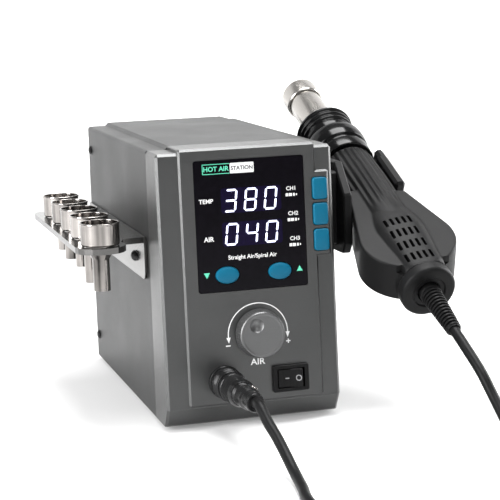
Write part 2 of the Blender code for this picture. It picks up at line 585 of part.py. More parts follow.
def cradle():
    """The handset's cradle: a stand-off block, an upright plate and a trough along the handset."""
    block = box("cradle", (HALF + GAP, 30, 90), (61, 58, 132), BLACK, edge=1.2, parent=STATION)
    plate = slab("cradle_plate", [(18, 92), (22, 86), (56, 86), (62, 96), (62, 137), (34, 137), (18, 120)],
                 60.0, 65.0, edge=0.8, parent=STATION, turn=ALONG_X, guide=True)
    section = ([(-ARM_OUTER, ARM_TOP), (-ARM_OUTER, -13.5), (-14, -22), (14, -22), (ARM_OUTER, -13.5),
                (ARM_OUTER, ARM_TOP), (ARM_INNER, ARM_TOP)] + arc(0, 0, TROUGH_RADIUS, 0, -180, 14)
               + [(-ARM_INNER, ARM_TOP)])
    trough = slab("cradle_trough", section, -TROUGH_END, -TROUGH_START, edge=1.6, parent=HAND,
                  turn=(math.pi / 2, 0, 0), guide=True)
    arm = box("cradle_arm", (ARM_INNER + 1.1, TROUGH_END - 8, -9), (ARM_OUTER - 0.1, ARM_END, ARM_TOP - 0.1), edge=1.6,
              parent=HAND, guide=True)
    join(block, plate, trough, arm)
    for i, (y, z) in enumerate(CRADLE_SCREWS):
        cut(block, cylinder(f"cradle_hole_{i}", 1.9, 48, 67, sides=10, parent=STATION, at=(0, y, z),
                            turn=(0, math.pi / 2, 0), guide=True))
        screw(f"cradle_screw_{i + 1}", (65.0 + GAP, y, z), (0, math.pi / 2, 0), 3.0, 1.8, STEEL, 19.0)
    return smooth(block)


# ---------------------------------------------------------------- handset

def blower_outline(radius, neck, neck_y):
    """A circle about the blower's axis drawn out to the grip's width."""
    lean = math.degrees(math.atan2(radius - neck, neck_y - BLOWER_Y))
    right = arc(0, BLOWER_Y, radius, -90, lean, 12)
    left = [(BLOWER_X - x, y) for x, y in right[::-1]]
    right = [(BLOWER_X + x, y) for x, y in right]
    return right + [(neck, neck_y), (-neck, neck_y)] + left[:-1]


def handset_body(name, material, guide=False):
    """The outer form: a round grip, a flat blower drum and the ridge that carries the intake slots."""
    where = {"parent": HANDSET, "guide": guide}
    profile = [(0, GRIP[-1][0])] + [(radius, y) for y, radius in GRIP[::-1]] + [(0, GRIP[0][0])]
    grip = turned(name, profile, material, 24, turn=ALONG_Y, **where)
    drum = slab(name + "_drum", blower_outline(BLOWER_RADIUS, 15.0, 82.0), BLOWER_LOW, BLOWER_HIGH, edge=2.4,
                edge_segments=2, parent=HANDSET, guide=True)
    ridge = box(name + "_ridge", (-11.4, 6.0, 0), (11.4, 86.0, 16.6), edge=2.6, edge_segments=2, parent=HANDSET,
                guide=True)
    return join(grip, drum, ridge)


def handset_hollow(name):
    """The space inside both shells."""
    profile = [(0, 122.5)] + [(radius - 2.4, min(y, 122.5)) for y, radius in GRIP[::-1] if y > 6] + [(12.0, 8.0), (0, 8.0)]
    grip = turned(name, profile, turn=ALONG_Y, parent=HANDSET, guide=True, sides=24)
    drum = slab(name + "_drum", blower_outline(BLOWER_RADIUS - 2.4, 12.4, 80.0), BLOWER_LOW + 2.2, BLOWER_HIGH - 2.2,
                parent=HANDSET, guide=True)
    ridge = box(name + "_ridge", (-9.2, 8.6, 0), (9.2, 82.0, 14.4), parent=HANDSET, guide=True)
    return join(grip, drum, ridge)


def handset_shells():
    """The grip's two half shells, split on the handset's middle plane."""
    far = 300
    for name, low, high in (("handset_shell_upper", GAP / 2, far), ("handset_shell_lower", -far, -GAP / 2)):
        shell = handset_body(name, BLACK)
        half = box(name + "_half", (-far, -far, low), (far, far, high), parent=HANDSET, guide=True)
        combine(shell, half, "INTERSECT")
        cut(shell, handset_hollow(name + "_hollow"))
        cut(shell, cylinder(name + "_mouth", TUBE_RADIUS + 0.5, 110, 140, parent=HANDSET, turn=ALONG_Y, guide=True))
        if low > 0:
            cut(shell, *intake_slots())
        smooth(shell, 35)


def intake_slots():
    """Five slots across by four along, through the ridge's flat top, and two finger notches by the tail."""
    for row in range(4):
        for column in range(5):
            x, y = (column - 2) * 3.5 - 0.9, 12.2 + row * 10.5
            yield box(f"slot_{row}_{column}", (x - 0.85, y - 3.3, 10), (x + 0.85, y + 3.3, 20), parent=HANDSET,
                      guide=True)
    for i, side in enumerate((-1, 1)):
        inner, outer = sorted((side * 11.8, side * 16.5))
        yield box(f"notch_{i}", (inner, 4, 8.5), (outer, 9.5, 16), parent=HANDSET, guide=True)


def handset_turnings():
    """The round pieces on the handset's axis, from the tail cap to the mouth."""
    where = {"parent": HANDSET, "turn": ALONG_Y}
    turned("tail_cap", [(15.7, 5.0), (15.7, CAP_END + 1.4), (14.9, CAP_END + 0.3), (14.0, CAP_END), (8.4, CAP_END),
                        (8.2, CAP_END + 1.2), (6.2, CAP_END + 1.2), (6.2, 5.0)],
           BLACK, 24, **where)
    turned("strain_relief", [(0, 4.6), (5.9, 4.6), (5.9, CAP_END), (5.6, CAP_END - 1.5), (3.9, RELIEF_END), (0, RELIEF_END)],
           RUBBER, 20, **where)
    turned("front_ring", [(17.2, RING_END), (18.4, RING_END - 1.4), (18.7, RING_END - 8.0), (17.9, RING_END - 13.0),
                          (16.4, RING_END - 14.0), (16.4, RING_END - 15.5), (17.4, RING_END - 16.5),
                          (17.0, GRIP_END + GAP), (TUBE_RADIUS + 0.5, GRIP_END + GAP), (TUBE_RADIUS + 0.5, RING_END)],
           GLOSS, 24, **where)
    ribs = []
    for rib in range(3):
        top = GUARD_END - 3.6 * rib
        radius = 17.9 - 0.55 * rib
        ribs += [(radius - 0.5, top), (radius, top - 0.5), (radius, top - 1.7), (radius - 1.1, top - 2.2),
                 (radius - 1.2, top - 3.2)]
    turned("heater_guard", ribs + [(14.6, RING_END + 3.0), (14.4, RING_END + GAP), (TUBE_RADIUS + 0.5, RING_END + GAP),
                                   (TUBE_RADIUS + 0.5, GUARD_END)], BLACK, 24, **where)
    turned("heater_tube", [(TUBE_RADIUS, MOUTH - 2.0), (TUBE_RADIUS, 116.0), (TUBE_RADIUS - 0.8, 116.0),
                           (TUBE_RADIUS - 0.8, MOUTH - 2.0)], BRIGHT, 24, **where)
    turned("mouth_ring", [(MOUTH_RADIUS - 0.8, MOUTH), (MOUTH_RADIUS, MOUTH - 0.8), (MOUTH_RADIUS, MOUTH - 12.4),
                          (MOUTH_RADIUS - 0.4, MOUTH - 13.0), (TUBE_RADIUS + GAP, MOUTH - 13.0),
                          (TUBE_RADIUS + GAP, MOUTH - 1.2), (9.0, MOUTH - 1.2), (9.0, MOUTH)], BRIGHT, 24, **where)
    turned("heater_core", [(0, 196), (7.4, 196), (7.4, 132), (TUBE_RADIUS - 1.1, 132), (TUBE_RADIUS - 1.1, 118),
                           (0, 118)], CERAMIC, 16, **where)


def blower():
    """The brushless motor and the centrifugal impeller that turns on the drum's axis."""
    where = {"parent": HANDSET, "at": (BLOWER_X, BLOWER_Y, 0)}
    turned("blower_motor", [(0, 1.4), (1.2, 1.4), (1.2, 0.4), (9.5, 0.4), (9.5, BLOWER_LOW + 2.6),
                            (0, BLOWER_LOW + 2.6)], STEEL, 20, **where)
    wheel = turned("blower_impeller", [(0, 9.6), (4.0, 9.6), (5.0, 3.4), (20.5, 3.0), (20.5, 1.8), (0, 1.8)], BLACK, 24,
                   **where)
    for blade in range(8):
        turn = Matrix.Rotation(math.tau * blade / 8, 4, "Z") @ Matrix.Rotation(0.5, 4, "Z")
        fin = box(f"blade_{blade}", (3.0, -0.6, 2.4), (20.0, 0.6, 9.2), parent=HANDSET, guide=True)
        fin.location = (BLOWER_X * MM, BLOWER_Y * MM, 0)
        fin.rotation_euler = turn.to_euler()
        join(wheel, fin)
    return wheel


# ---------------------------------------------------------------- cord

def cords():
    """One cord in three solids: the handset's stretch, the coil that holds the spare length, the plug's stretch."""
    down = HAND.matrix_basis.to_3x3() @ Vector((0, -1, 0))
    start = Vector(TAIL) + down * (2 * GAP - RELIEF_END)
    lift = Vector((0, 0, -FOOT_HEIGHT))
    route = [start, start + down * 13.0] + [Vector(point) + lift for point in HANDSET_ROUTE]
    tube("handset_cord", smooth_route(route, 2 * CORD), CORD / 2, parent=STATION)
    out = FRONT.matrix_basis.to_3x3() @ Vector((0, 0, 1))
    foot = FRONT.matrix_basis.to_3x3() @ Vector((SOCKET_X, up_front(SOCKET_Z), 0)) + Vector((0, 0, SKIRT))
    start = foot + out * (PLUG_END + 2 * GAP)
    route = [start, start + out * 8.0] + [Vector(point) + lift for point in PLUG_ROUTE]
    tube("plug_cord", smooth_route(route, 2 * CORD), CORD / 2, parent=STATION)
    turned("cord_coil", [(COIL_OUTER - 1.5, COIL_HIGH), (COIL_OUTER, COIL_HIGH - 1.5), (COIL_OUTER, 1.6),
                         (COIL_OUTER - 1.5, 0.1), (COIL_INNER + 1.5, 0.1), (COIL_INNER, 1.6),
                         (COIL_INNER, COIL_HIGH - 1.5), (COIL_INNER + 1.5, COIL_HIGH)], RUBBER, 24, parent=STATION,
           at=(COIL_X, COIL_Y, -FOOT_HEIGHT))


HANDSET = frame("handset_roll", HAND, turn=(0, -HAND_ROLL, 0))

front_bezel()
cover()
base_tray()
rear_panel()
feet()
for index, (screw_y, screw_z) in enumerate(COVER_SCREWS, start=1):
    screw(f"cover_screw_{index}", (-HALF - GAP, screw_y, screw_z), (0, -math.pi / 2, 0), 3.0, 1.6, DARK_METAL, 4.0)
display()
keys()
knob()
power_switch()
handset_plug()
electronics()
mains_inlet()
nozzle_rack()
spare_nozzles()
cradle()
handset_shells()
handset_turnings()
blower()
cords()
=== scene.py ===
"""The looks of a hot air station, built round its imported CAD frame.

Lengths are in millimetres, in the station's frame or a sub-part's own, unless a name says metres.
"""

import math

import bmesh
import bpy
from mathutils import Euler, Matrix, Vector


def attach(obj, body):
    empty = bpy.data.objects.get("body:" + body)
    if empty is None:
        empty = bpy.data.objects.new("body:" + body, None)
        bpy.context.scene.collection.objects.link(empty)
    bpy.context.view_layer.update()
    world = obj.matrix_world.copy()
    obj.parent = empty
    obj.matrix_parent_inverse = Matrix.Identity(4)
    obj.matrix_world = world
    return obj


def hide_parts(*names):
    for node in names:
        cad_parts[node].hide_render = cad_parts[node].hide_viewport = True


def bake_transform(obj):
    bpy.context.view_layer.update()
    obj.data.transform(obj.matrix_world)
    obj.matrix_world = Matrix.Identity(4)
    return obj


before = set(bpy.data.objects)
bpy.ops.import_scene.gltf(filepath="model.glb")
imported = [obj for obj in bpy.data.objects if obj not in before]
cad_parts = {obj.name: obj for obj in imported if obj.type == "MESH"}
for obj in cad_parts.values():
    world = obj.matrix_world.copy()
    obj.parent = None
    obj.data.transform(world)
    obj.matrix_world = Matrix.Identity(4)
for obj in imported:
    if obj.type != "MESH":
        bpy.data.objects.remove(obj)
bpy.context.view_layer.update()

# ---------------------------------------------------------------- frames and sizes, as in the CAD

MM = 0.001
SKIRT = 10.7
LEAN = math.radians(2.6)
STATION_PLACE = (-11.59, -65.78, 2.0)

TAIL = Vector((88.7, -34.0, 72.3))
HAND_LEAN = math.radians(26.0)
HAND_TURN = math.radians(2.4)
HAND_ROLL = math.radians(7.5)

# Stations along the handset, from the cord's end to the mouth.
RELIEF_END, CAP_END, CAP_SEAT, GRIP_START = -36.0, -2.2, 5.2, 5.3
GRIP_END, RING_END, GUARD_END, MOUTH = 126.0, 150.0, 167.5, 215.0
BLOWER_X, BLOWER_Y = 0.6, 32.3

PLUG_END = 58.0
CORD = 5.6


def shift(x, y, z):
    return Matrix.Translation((x, y, z))


def turn(x=0.0, y=0.0, z=0.0):
    return Euler((x, y, z)).to_matrix().to_4x4()


STATION = shift(*STATION_PLACE)
FRONT = STATION @ shift(0, 0, SKIRT) @ turn(math.pi / 2 - LEAN)
HAND = STATION @ Matrix.Translation(TAIL) @ turn(HAND_LEAN, 0, HAND_TURN)
HANDSET = HAND @ turn(0, -HAND_ROLL)
HANDSET_AXIS = HANDSET @ turn(-math.pi / 2)


def up(z):
    """A height on the case as a distance up the leaning front."""
    return (z - SKIRT) / math.cos(LEAN)


def on_front(x, z, out=0.0):
    """The front's frame, moved to a place on it."""
    return FRONT @ shift(x, up(z), out)


# ---------------------------------------------------------------- materials

BROAD_GRAIN = 28.0
FINE_SHARE = 0.55
TONE_RANGE = (0.3, 0.7)
RELIEF_METRES = 0.0002
SMOOTHEST = 0.02


def opaque(value):
    return (*value, 1.0)


def painted(name, colour, roughness, metallic=0.0, grain=1800.0, bump=0.15, vary=0.12, uneven=0.08,
            specular=0.5, stretch=(1, 1, 1), glow=0.0, edge=1.0):
    """A surface whose tone, roughness and relief vary over two sizes of noise."""
    material = bpy.data.materials.new(name)
    material.use_nodes = True
    nodes, links = material.node_tree.nodes, material.node_tree.links
    shader = nodes["Principled BSDF"]

    place = nodes.new("ShaderNodeTexCoord")
    scale = nodes.new("ShaderNodeMapping")
    scale.inputs["Scale"].default_value = stretch
    fine = nodes.new("ShaderNodeTexNoise")
    fine.inputs["Scale"].default_value = grain
    fine.inputs["Detail"].default_value = 3.0
    broad = nodes.new("ShaderNodeTexNoise")
    broad.inputs["Scale"].default_value = BROAD_GRAIN
    broad.inputs["Detail"].default_value = 4.0
    links.new(place.outputs["Object"], scale.inputs["Vector"])
    links.new(scale.outputs["Vector"], fine.inputs["Vector"])
    links.new(place.outputs["Object"], broad.inputs["Vector"])

    broad_part = nodes.new("ShaderNodeMath")
    broad_part.operation = "MULTIPLY"
    broad_part.inputs[1].default_value = 1.0 - FINE_SHARE
    links.new(broad.outputs["Fac"], broad_part.inputs[0])
    mixed = nodes.new("ShaderNodeMath")
    mixed.operation = "MULTIPLY_ADD"
    mixed.inputs[1].default_value = FINE_SHARE
    links.new(fine.outputs["Fac"], mixed.inputs[0])
    links.new(broad_part.outputs[0], mixed.inputs[2])

    tone = nodes.new("ShaderNodeValToRGB")
    dark, light = tone.color_ramp.elements
    dark.position, light.position = TONE_RANGE
    dark.color = opaque([c * (1 - vary) for c in colour])
    light.color = opaque([min(1.0, c * (1 + vary)) for c in colour])
    links.new(mixed.outputs[0], tone.inputs["Fac"])
    links.new(tone.outputs["Color"], shader.inputs["Base Color"])

    dullness = nodes.new("ShaderNodeMapRange")
    dullness.inputs["To Min"].default_value = max(SMOOTHEST, roughness - uneven)
    dullness.inputs["To Max"].default_value = min(1.0, roughness + uneven)
    links.new(broad.outputs["Fac"], dullness.inputs["Value"])
    links.new(dullness.outputs["Result"], shader.inputs["Roughness"])

    relief = nodes.new("ShaderNodeBump")
    relief.inputs["Strength"].default_value = bump
    relief.inputs["Distance"].default_value = RELIEF_METRES
    links.new(fine.outputs["Fac"], relief.inputs["Height"])
    links.new(relief.outputs["Normal"], shader.inputs["Normal"])

    shader.inputs["Metallic"].default_value = metallic
    shader.inputs["Specular IOR Level"].default_value = specular
    shader.inputs["Specular Tint"].default_value = opaque((edge, edge, edge))
    if glow:
        links.new(tone.outputs["Color"], shader.inputs["Emission Color"])
        shader.inputs["Emission Strength"].default_value = glow
    return material


# Coated and bare metals.
CASE = painted("case_coat", (0.082, 0.083, 0.083), 0.35, 0.88, grain=3200, bump=0.32, vary=0.10)
COVER = painted("cover_coat", (0.072, 0.073, 0.073), 0.40, 0.88, edge=0.72, grain=3000, bump=0.4, vary=0.10)
RACK = painted("rack_steel", (0.12, 0.118, 0.115), 0.2, 0.95, grain=900, bump=0.06, vary=0.1)
TRAY = painted("tray_steel", (0.10, 0.10, 0.102), 0.4, 0.8, grain=1500, bump=0.12)
PLUG = painted("plug_black_metal", (0.014, 0.014, 0.0145), 0.22, 0.5, grain=700, bump=0.05, vary=0.2,
               specular=0.35)
# Polished steel for the nozzles and clamp screw heads: its vertical streaks, from near black to bright, are
# painted reflection bands.
SHEEN_STREAKED_STEEL = painted("stainless", (0.30, 0.282, 0.268), 0.15, 1.0, grain=230, bump=0.0, vary=0.92,
                 stretch=(1, 1, 0.02))
TUBE = painted("heater_stainless", (0.46, 0.44, 0.415), 0.22, 1.0, grain=300, bump=0.06, vary=0.05,
               stretch=(9, 1, 9))
STEEL = painted("zinc_steel", (0.55, 0.55, 0.54), 0.32, 1.0, grain=900, bump=0.08, vary=0.1)
DARK_SCREW = painted("black_screw", (0.03, 0.03, 0.031), 0.3, 0.8, grain=900, bump=0.1)
KNOB = painted("knob_grey", (0.125, 0.126, 0.127), 0.38, 0.75, grain=2800, bump=0.25, vary=0.1)

# Plastics and rubbers.
LENS = painted("lens_black", (0.003, 0.0025, 0.004), 0.14, grain=300, bump=0.01, vary=0.3, uneven=0.03,
               specular=0.08)
BLACK = painted("black_moulding", (0.007, 0.007, 0.0073), 0.42, grain=2600, bump=0.28, vary=0.2,
                specular=0.12)
SHELL = painted("handset_moulding", (0.006, 0.006, 0.0062), 0.44, grain=2400, bump=0.25, vary=0.18,
                specular=0.10)
GLOSS = painted("gloss_ring", (0.003, 0.003, 0.0032), 0.17, grain=500, bump=0.02, vary=0.3, uneven=0.04,
                specular=0.2)
RUBBER = painted("cord_rubber", (0.005, 0.005, 0.0052), 0.42, grain=1300, bump=0.18, vary=0.18,
                 specular=0.10)
FOOT = painted("foot_rubber", (0.012, 0.012, 0.012), 0.75, grain=1200, bump=0.3, vary=0.2)
BLUE = painted("key_blue", (0.001, 0.105, 0.185), 0.36, grain=1200, bump=0.06, vary=0.08, specular=0.2)

# Inner parts.
BOARD = painted("circuit_board", (0.02, 0.13, 0.06), 0.4, grain=500, bump=0.1, vary=0.25)
FACE = painted("display_face", (0.03, 0.03, 0.05), 0.35, grain=600, bump=0.05)
CORE = painted("transformer_core", (0.20, 0.15, 0.10), 0.5, 0.4, grain=300, bump=0.3, stretch=(1, 9, 1))
CERAMIC = painted("heater_ceramic", (0.62, 0.58, 0.50), 0.7, grain=700, bump=0.3)

# Lights and prints.
LIT = painted("digit_light", (0.74, 0.76, 1.0), 0.4, grain=400, bump=0.01, vary=0.06, glow=1.25)
# Painted glow: a faint violet tint that stands for the lit digits' light spreading behind the lens.
DIGIT_GLOW_PAINT = painted("display_window", (0.005, 0.003, 0.017), 0.2, grain=400, bump=0.01, vary=0.2,
                 specular=0.08)
WHITE = painted("white_print", (0.78, 0.78, 0.78), 0.5, grain=1500, bump=0.02, vary=0.05)
GREEN = painted("green_print", (0.10, 0.62, 0.40), 0.5, grain=1500, bump=0.02, vary=0.08)
GREY_PRINT = painted("grey_print", (0.30, 0.30, 0.31), 0.5, grain=1500, bump=0.02, vary=0.1)

# Studio.
FLOOR = painted("studio_floor", (0.60, 0.60, 0.60), 0.7, grain=40, bump=0.0, vary=0.01, uneven=0.05,
                specular=0.1, glow=0.37)
BACKDROP = painted("studio_backdrop", (0.80, 0.80, 0.80), 0.6, grain=40, bump=0.0, vary=0.01, uneven=0.05,
                   specular=0.2, glow=1.1)

FINISHES = {
    "front_bezel": CASE, "cover": COVER, "rear_panel": COVER, "base_tray": TRAY, "nozzle_rack": RACK,
    "cover_screw_1": DARK_SCREW, "cover_screw_2": DARK_SCREW, "rack_screw_1": DARK_SCREW,
    "rack_screw_2": DARK_SCREW, "cradle_screw_1": STEEL, "cradle_screw_2": STEEL,
    "display_lens": LENS, "led_digits_air": FACE, "led_digits_temperature": FACE, "handset_socket": PLUG,
    "display_board": BOARD, "main_board": BOARD, "transformer": CORE, "heater_core": CERAMIC,
    "heat_sink": STEEL, "encoder": STEEL, "encoder_shaft": STEEL, "socket_nut": STEEL,
    "blower_motor": STEEL,
}
for node_name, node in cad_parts.items():
    node.data.materials.clear()
    node.data.materials.append(FINISHES.get(node_name, FOOT if node_name.startswith("foot") else BLACK))


# ---------------------------------------------------------------- shape tools

SHARP_ANGLE = math.radians(38)
BEVEL_ANGLE = math.radians(35)
CORNER_STEPS = 4
MERGE_DISTANCE = 0.0001


def solid(name, bm, material, matrix=None, body="station"):
    """A piece from mesh data in a frame's millimetres, riding on a body."""
    bm.transform((Matrix.Scale(MM, 4) @ matrix) if matrix else Matrix.Scale(MM, 4))
    bmesh.ops.recalc_face_normals(bm, faces=bm.faces)
    mesh = bpy.data.meshes.new(name)
    bm.to_mesh(mesh)
    bm.free()
    mesh.shade_smooth()
    mesh.set_sharp_from_angle(angle=SHARP_ANGLE)
    mesh.materials.append(material)
    piece = bpy.data.objects.new(name, mesh)
    bpy.context.scene.collection.objects.link(piece)
    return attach(piece, body) if body else piece


def skin(rings):
    """Closed mesh data joining equal rings of points."""
    bm = bmesh.new()
    rows = [[bm.verts.new(p) for p in ring] for ring in rings]
    count = len(rows[0])
    for low, high in zip(rows, rows[1:]):
        for i in range(count):
            j = (i + 1) % count
            bm.faces.new((low[i], low[j], high[j], high[i]))
    bm.faces.new(rows[0][::-1])
    bm.faces.new(rows[-1])
    return bm


def eased(profile, radius, closed=False):
    """Round every corner of a profile, by less where its sides are short."""
    result = []
    count = len(profile)
    for i, here in enumerate(profile):
        if not closed and i in (0, count - 1):
            result.append(here)
            continue
        here = Vector(here)
        before = Vector(profile[i - 1]) - here
        after = Vector(profile[(i + 1) % count]) - here
        room = min(radius, before.length * 0.45, after.length * 0.45)
        start = here + before.normalized() * room
        end = here + after.normalized() * room
        for k in range(CORNER_STEPS + 1):
            t = k / CORNER_STEPS
            result.append(tuple(start * (1 - t) ** 2 + here * (2 * t * (1 - t)) + end * t * t))
    return result


def turned(name, profile, material, matrix, sides=72, ease=0.25, closed=True, body="station", rim=None,
           lift=None):
    """Turn (radius, height) points about local Z; rim and lift can move single points in or up."""
    points = eased(profile, ease, closed=closed)
    if closed:
        points = points + [points[0]]
    bm = bmesh.new()
    rows = []
    for radius, height in points:
        ring = []
        for i in range(1 if radius < 1e-6 else sides):
            angle = 2 * math.pi * i / sides
            wide = rim(radius, height, angle) if rim else radius
            x, y = wide * math.cos(angle), wide * math.sin(angle)
            ring.append(bm.verts.new((x, y, height + (lift(x, y, height) if lift else 0.0))))
        rows.append(ring)
    for low, high in zip(rows, rows[1:]):
        for i in range(sides):
            j = (i + 1) % sides
            corners = [low[i % len(low)], low[j % len(low)], high[j % len(high)], high[i % len(high)]]
            corners = list(dict.fromkeys(corners))
            if len(corners) > 2:
                bm.faces.new(corners)
    bmesh.ops.remove_doubles(bm, verts=bm.verts, dist=MERGE_DISTANCE)
    return solid(name, bm, material, matrix, body=body)


def prism_mesh(outline, low, high, edge=0.0, segments=3):
    """An outline raised from one height to another, with its edges rounded."""
    bm = bmesh.new()
    face = bm.faces.new([bm.verts.new((x, y, low)) for x, y in outline])
    raised = bmesh.ops.extrude_face_region(bm, geom=[face])
    top = [v for v in raised["geom"] if isinstance(v, bmesh.types.BMVert)]
    bmesh.ops.translate(bm, vec=(0, 0, high - low), verts=top)
    bmesh.ops.recalc_face_normals(bm, faces=bm.faces)
    if edge:
        edges = [e for e in bm.edges if e.calc_face_angle(0) > BEVEL_ANGLE]
        bmesh.ops.bevel(bm, geom=edges, offset=edge, segments=segments, profile=0.5, affect="EDGES",
                        clamp_overlap=True)
    return bm


def arc(x, y, radius, start, end, steps):
    angles = [math.radians(start + (end - start) * i / steps) for i in range(steps + 1)]
    return [(x + radius * math.cos(a), y + radius * math.sin(a)) for a in angles]


def rounded(width, height, radius, x=0.0, y=0.0, steps=6):
    """The outline of a rectangle with round corners."""
    across, above = width / 2 - radius, height / 2 - radius
    corners = ((across, above, 0), (-across, above, 90), (-across, -above, 180), (across, -above, 270))
    return [p for cx, cy, start in corners for p in arc(x + cx, y + cy, radius, start, start + 90, steps)]


def oval(width, height, sides=48):
    angles = [2 * math.pi * i / sides for i in range(sides)]
    return [(width / 2 * math.cos(a), height / 2 * math.sin(a)) for a in angles]


def baked(piece):
    """Make a piece's modifiers permanent."""
    mesh = bpy.data.meshes.new_from_object(piece.evaluated_get(bpy.context.evaluated_depsgraph_get()))
    piece.modifiers.clear()
    piece.data = mesh


def merged(*meshes):
    """Several pieces of mesh data as one."""
    bm = bmesh.new()
    for other in meshes:
        data = bpy.data.meshes.new("part")
        other.to_mesh(data)
        other.free()
        bm.from_mesh(data)
        bpy.data.meshes.remove(data)
    return bm


def smooth_step(value, low, high):
    t = min(1.0, max(0.0, (value - low) / (high - low)))
    return t * t * (3 - 2 * t)


def between(table, value):
    """A size read off a table of (position, size) pairs."""
    for (a, first), (b, second) in zip(table, table[1:]):
        if value <= b:
            return first + (second - first) * smooth_step(value, a, b)
    return table[-1][1]


# ---------------------------------------------------------------- handset shell

DRUM_RADIUS = 26.9
DRUM_LOW, DRUM_TOP = -10.1, 12.7
DRUM_EDGE = 2.6
LEFT_NECK, RIGHT_NECK = (15.4, 86.0), (15.6, 76.0)

GRIP_RADII = ((GRIP_START, 14.4), (20, 15.2), (60, 16.2), (96, 16.3), (118, 15.9), (GRIP_END, 15.3))
FLUTE_DEPTH = 1.15
FLUTE_PITCH = 13.0
FLUTES_REACH = 71.5
FLUTES_FADE_IN, FLUTES_FADE_OUT = (60, 78), (123.5, 125.5)
GRIP_SIDES, GRIP_RING_STEP = 240, 1.0065

RIDGE_WIDTHS = ((4, 13.0), (8, 13.8), (45, 15.8), (70, 16.0))
RIDGE_TOPS = ((4, 14.8), (8, 15.5), (45, 17.0), (70, 16.6))
RIDGE_SQUARENESS = 0.62
RIDGE_RUN_OUT, RIDGE_FADE = 15.0, (40, 72)
RIDGE_START, RIDGE_RING_STEP, RIDGE_RINGS = 4.5, 2.0, 45

SLOT, SLOT_ROWS, SLOT_COLUMNS = (1.75, 6.6, 0.6), 4, 5
SLOT_X, SLOT_Y, SLOT_STEP_X, SLOT_STEP_Y = -0.9, 12.2, 3.5, 10.5
SLOT_CUT = (11.5, 22)
NOTCH, NOTCH_X, NOTCH_Y, NOTCH_CUT = (6.0, 5.5, 0.8), 14.2, 7.4, (8.0, 18)
VOXEL_METRES = 0.00055
SHELL_SHARP_ANGLE = math.radians(46)


def drum_side(neck, top):
    """One side of the blower drum: round below, then straight up to the grip."""
    reach = Vector((neck, top - BLOWER_Y))
    lean = math.degrees(math.atan2(reach.y, reach.x) - math.acos(DRUM_RADIUS / reach.length))
    return arc(0, BLOWER_Y, DRUM_RADIUS, -90, lean, 30) + [(neck, top)]


def drum_mesh():
    left, right = drum_side(*LEFT_NECK), drum_side(*RIGHT_NECK)
    outline = [(BLOWER_X + x, y) for x, y in right] + [(BLOWER_X - x, y) for x, y in left[::-1]]
    return prism_mesh(outline, DRUM_LOW, DRUM_TOP, DRUM_EDGE, 5)


def grip_mesh():
    """The round grip, with flutes along its upper side below the ring."""
    rings = []
    s = GRIP_START
    while s <= GRIP_END + 0.01:
        ring = []
        depth = FLUTE_DEPTH * smooth_step(s, *FLUTES_FADE_IN) * (1 - smooth_step(s, *FLUTES_FADE_OUT))
        for i in range(GRIP_SIDES):
            a = 2 * math.pi * i / GRIP_SIDES
            off = math.degrees(a)
            off = off if off <= 180 else off - 360
            groove = 0.0
            if abs(off) < FLUTES_REACH:
                groove = depth * (0.5 - 0.5 * math.cos(2 * math.pi * off / FLUTE_PITCH + math.pi)) ** 1.4
            radius = between(GRIP_RADII, s) - groove
            ring.append((radius * math.sin(a), s, radius * math.cos(a)))
        rings.append(ring)
        s += GRIP_RING_STEP
    return skin(rings)


def ridge_mesh():
    """The raised back of the blower that carries the intake slots and runs out into the round grip."""
    rings = []
    for k in range(RIDGE_RINGS):
        s = RIDGE_START + k * RIDGE_RING_STEP
        wide, top = between(RIDGE_WIDTHS, s), between(RIDGE_TOPS, s)
        square = 1 - smooth_step(s, *RIDGE_FADE)
        ring = []
        for i in range(41):
            a = math.radians(90 - 4.5 * i)
            across, above = math.sin(a), abs(math.cos(a))
            boxy_x = math.copysign(abs(across) ** RIDGE_SQUARENESS, across) * wide
            boxy_z = above ** RIDGE_SQUARENESS * top
            x = across * RIDGE_RUN_OUT * (1 - square) + boxy_x * square
            z = above * RIDGE_RUN_OUT * (1 - square) + boxy_z * square
            ring.append((x, s, z))
        rings.append(ring)
    return skin(rings)


def shell_cutters():
    """The intake slots and the two finger notches beside the tail."""
    width, length, corner = SLOT
    cutters = []
    for row in range(SLOT_ROWS):
        for column in range(SLOT_COLUMNS):
            x = (column - (SLOT_COLUMNS - 1) / 2) * SLOT_STEP_X + SLOT_X
            y = SLOT_Y + row * SLOT_STEP_Y
            cutters.append(prism_mesh(rounded(width, length, corner, x, y, 3), *SLOT_CUT))
    width, length, corner = NOTCH
    for side in (-1, 1):
        outline = rounded(width, length, corner, side * NOTCH_X, NOTCH_Y, 3)
        cutters.append(prism_mesh(outline, *NOTCH_CUT))
    return merged(*cutters)


def handset_shell():
    """Grip, blower drum and ridge fused into one moulded body, with the slots and notches cut out."""
    shell = solid("handset_shell", merged(grip_mesh(), drum_mesh(), ridge_mesh()), SHELL, None, body=None)
    fuse = shell.modifiers.new("fuse", "REMESH")
    fuse.mode = "VOXEL"
    fuse.voxel_size = VOXEL_METRES
    relax = shell.modifiers.new("relax", "SMOOTH")
    relax.factor = 0.5
    relax.iterations = 5
    baked(shell)
    cutter = solid("slot_cutters", shell_cutters(), SHELL, None, body=None)
    cut = shell.modifiers.new("slots", "BOOLEAN")
    cut.operation = "DIFFERENCE"
    cut.solver = "EXACT"
    cut.object = cutter
    baked(shell)
    bpy.data.objects.remove(cutter, do_unlink=True)
    metres = Matrix.Scale(MM, 4)
    shell.data.transform(metres @ HANDSET @ metres.inverted())
    shell.data.shade_smooth()
    shell.data.set_sharp_from_angle(angle=SHELL_SHARP_ANGLE)
    shell.data.materials.clear()
    shell.data.materials.append(SHELL)
    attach(shell, "handset")
    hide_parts("handset_shell_upper", "handset_shell_lower")


# ---------------------------------------------------------------- handset ends

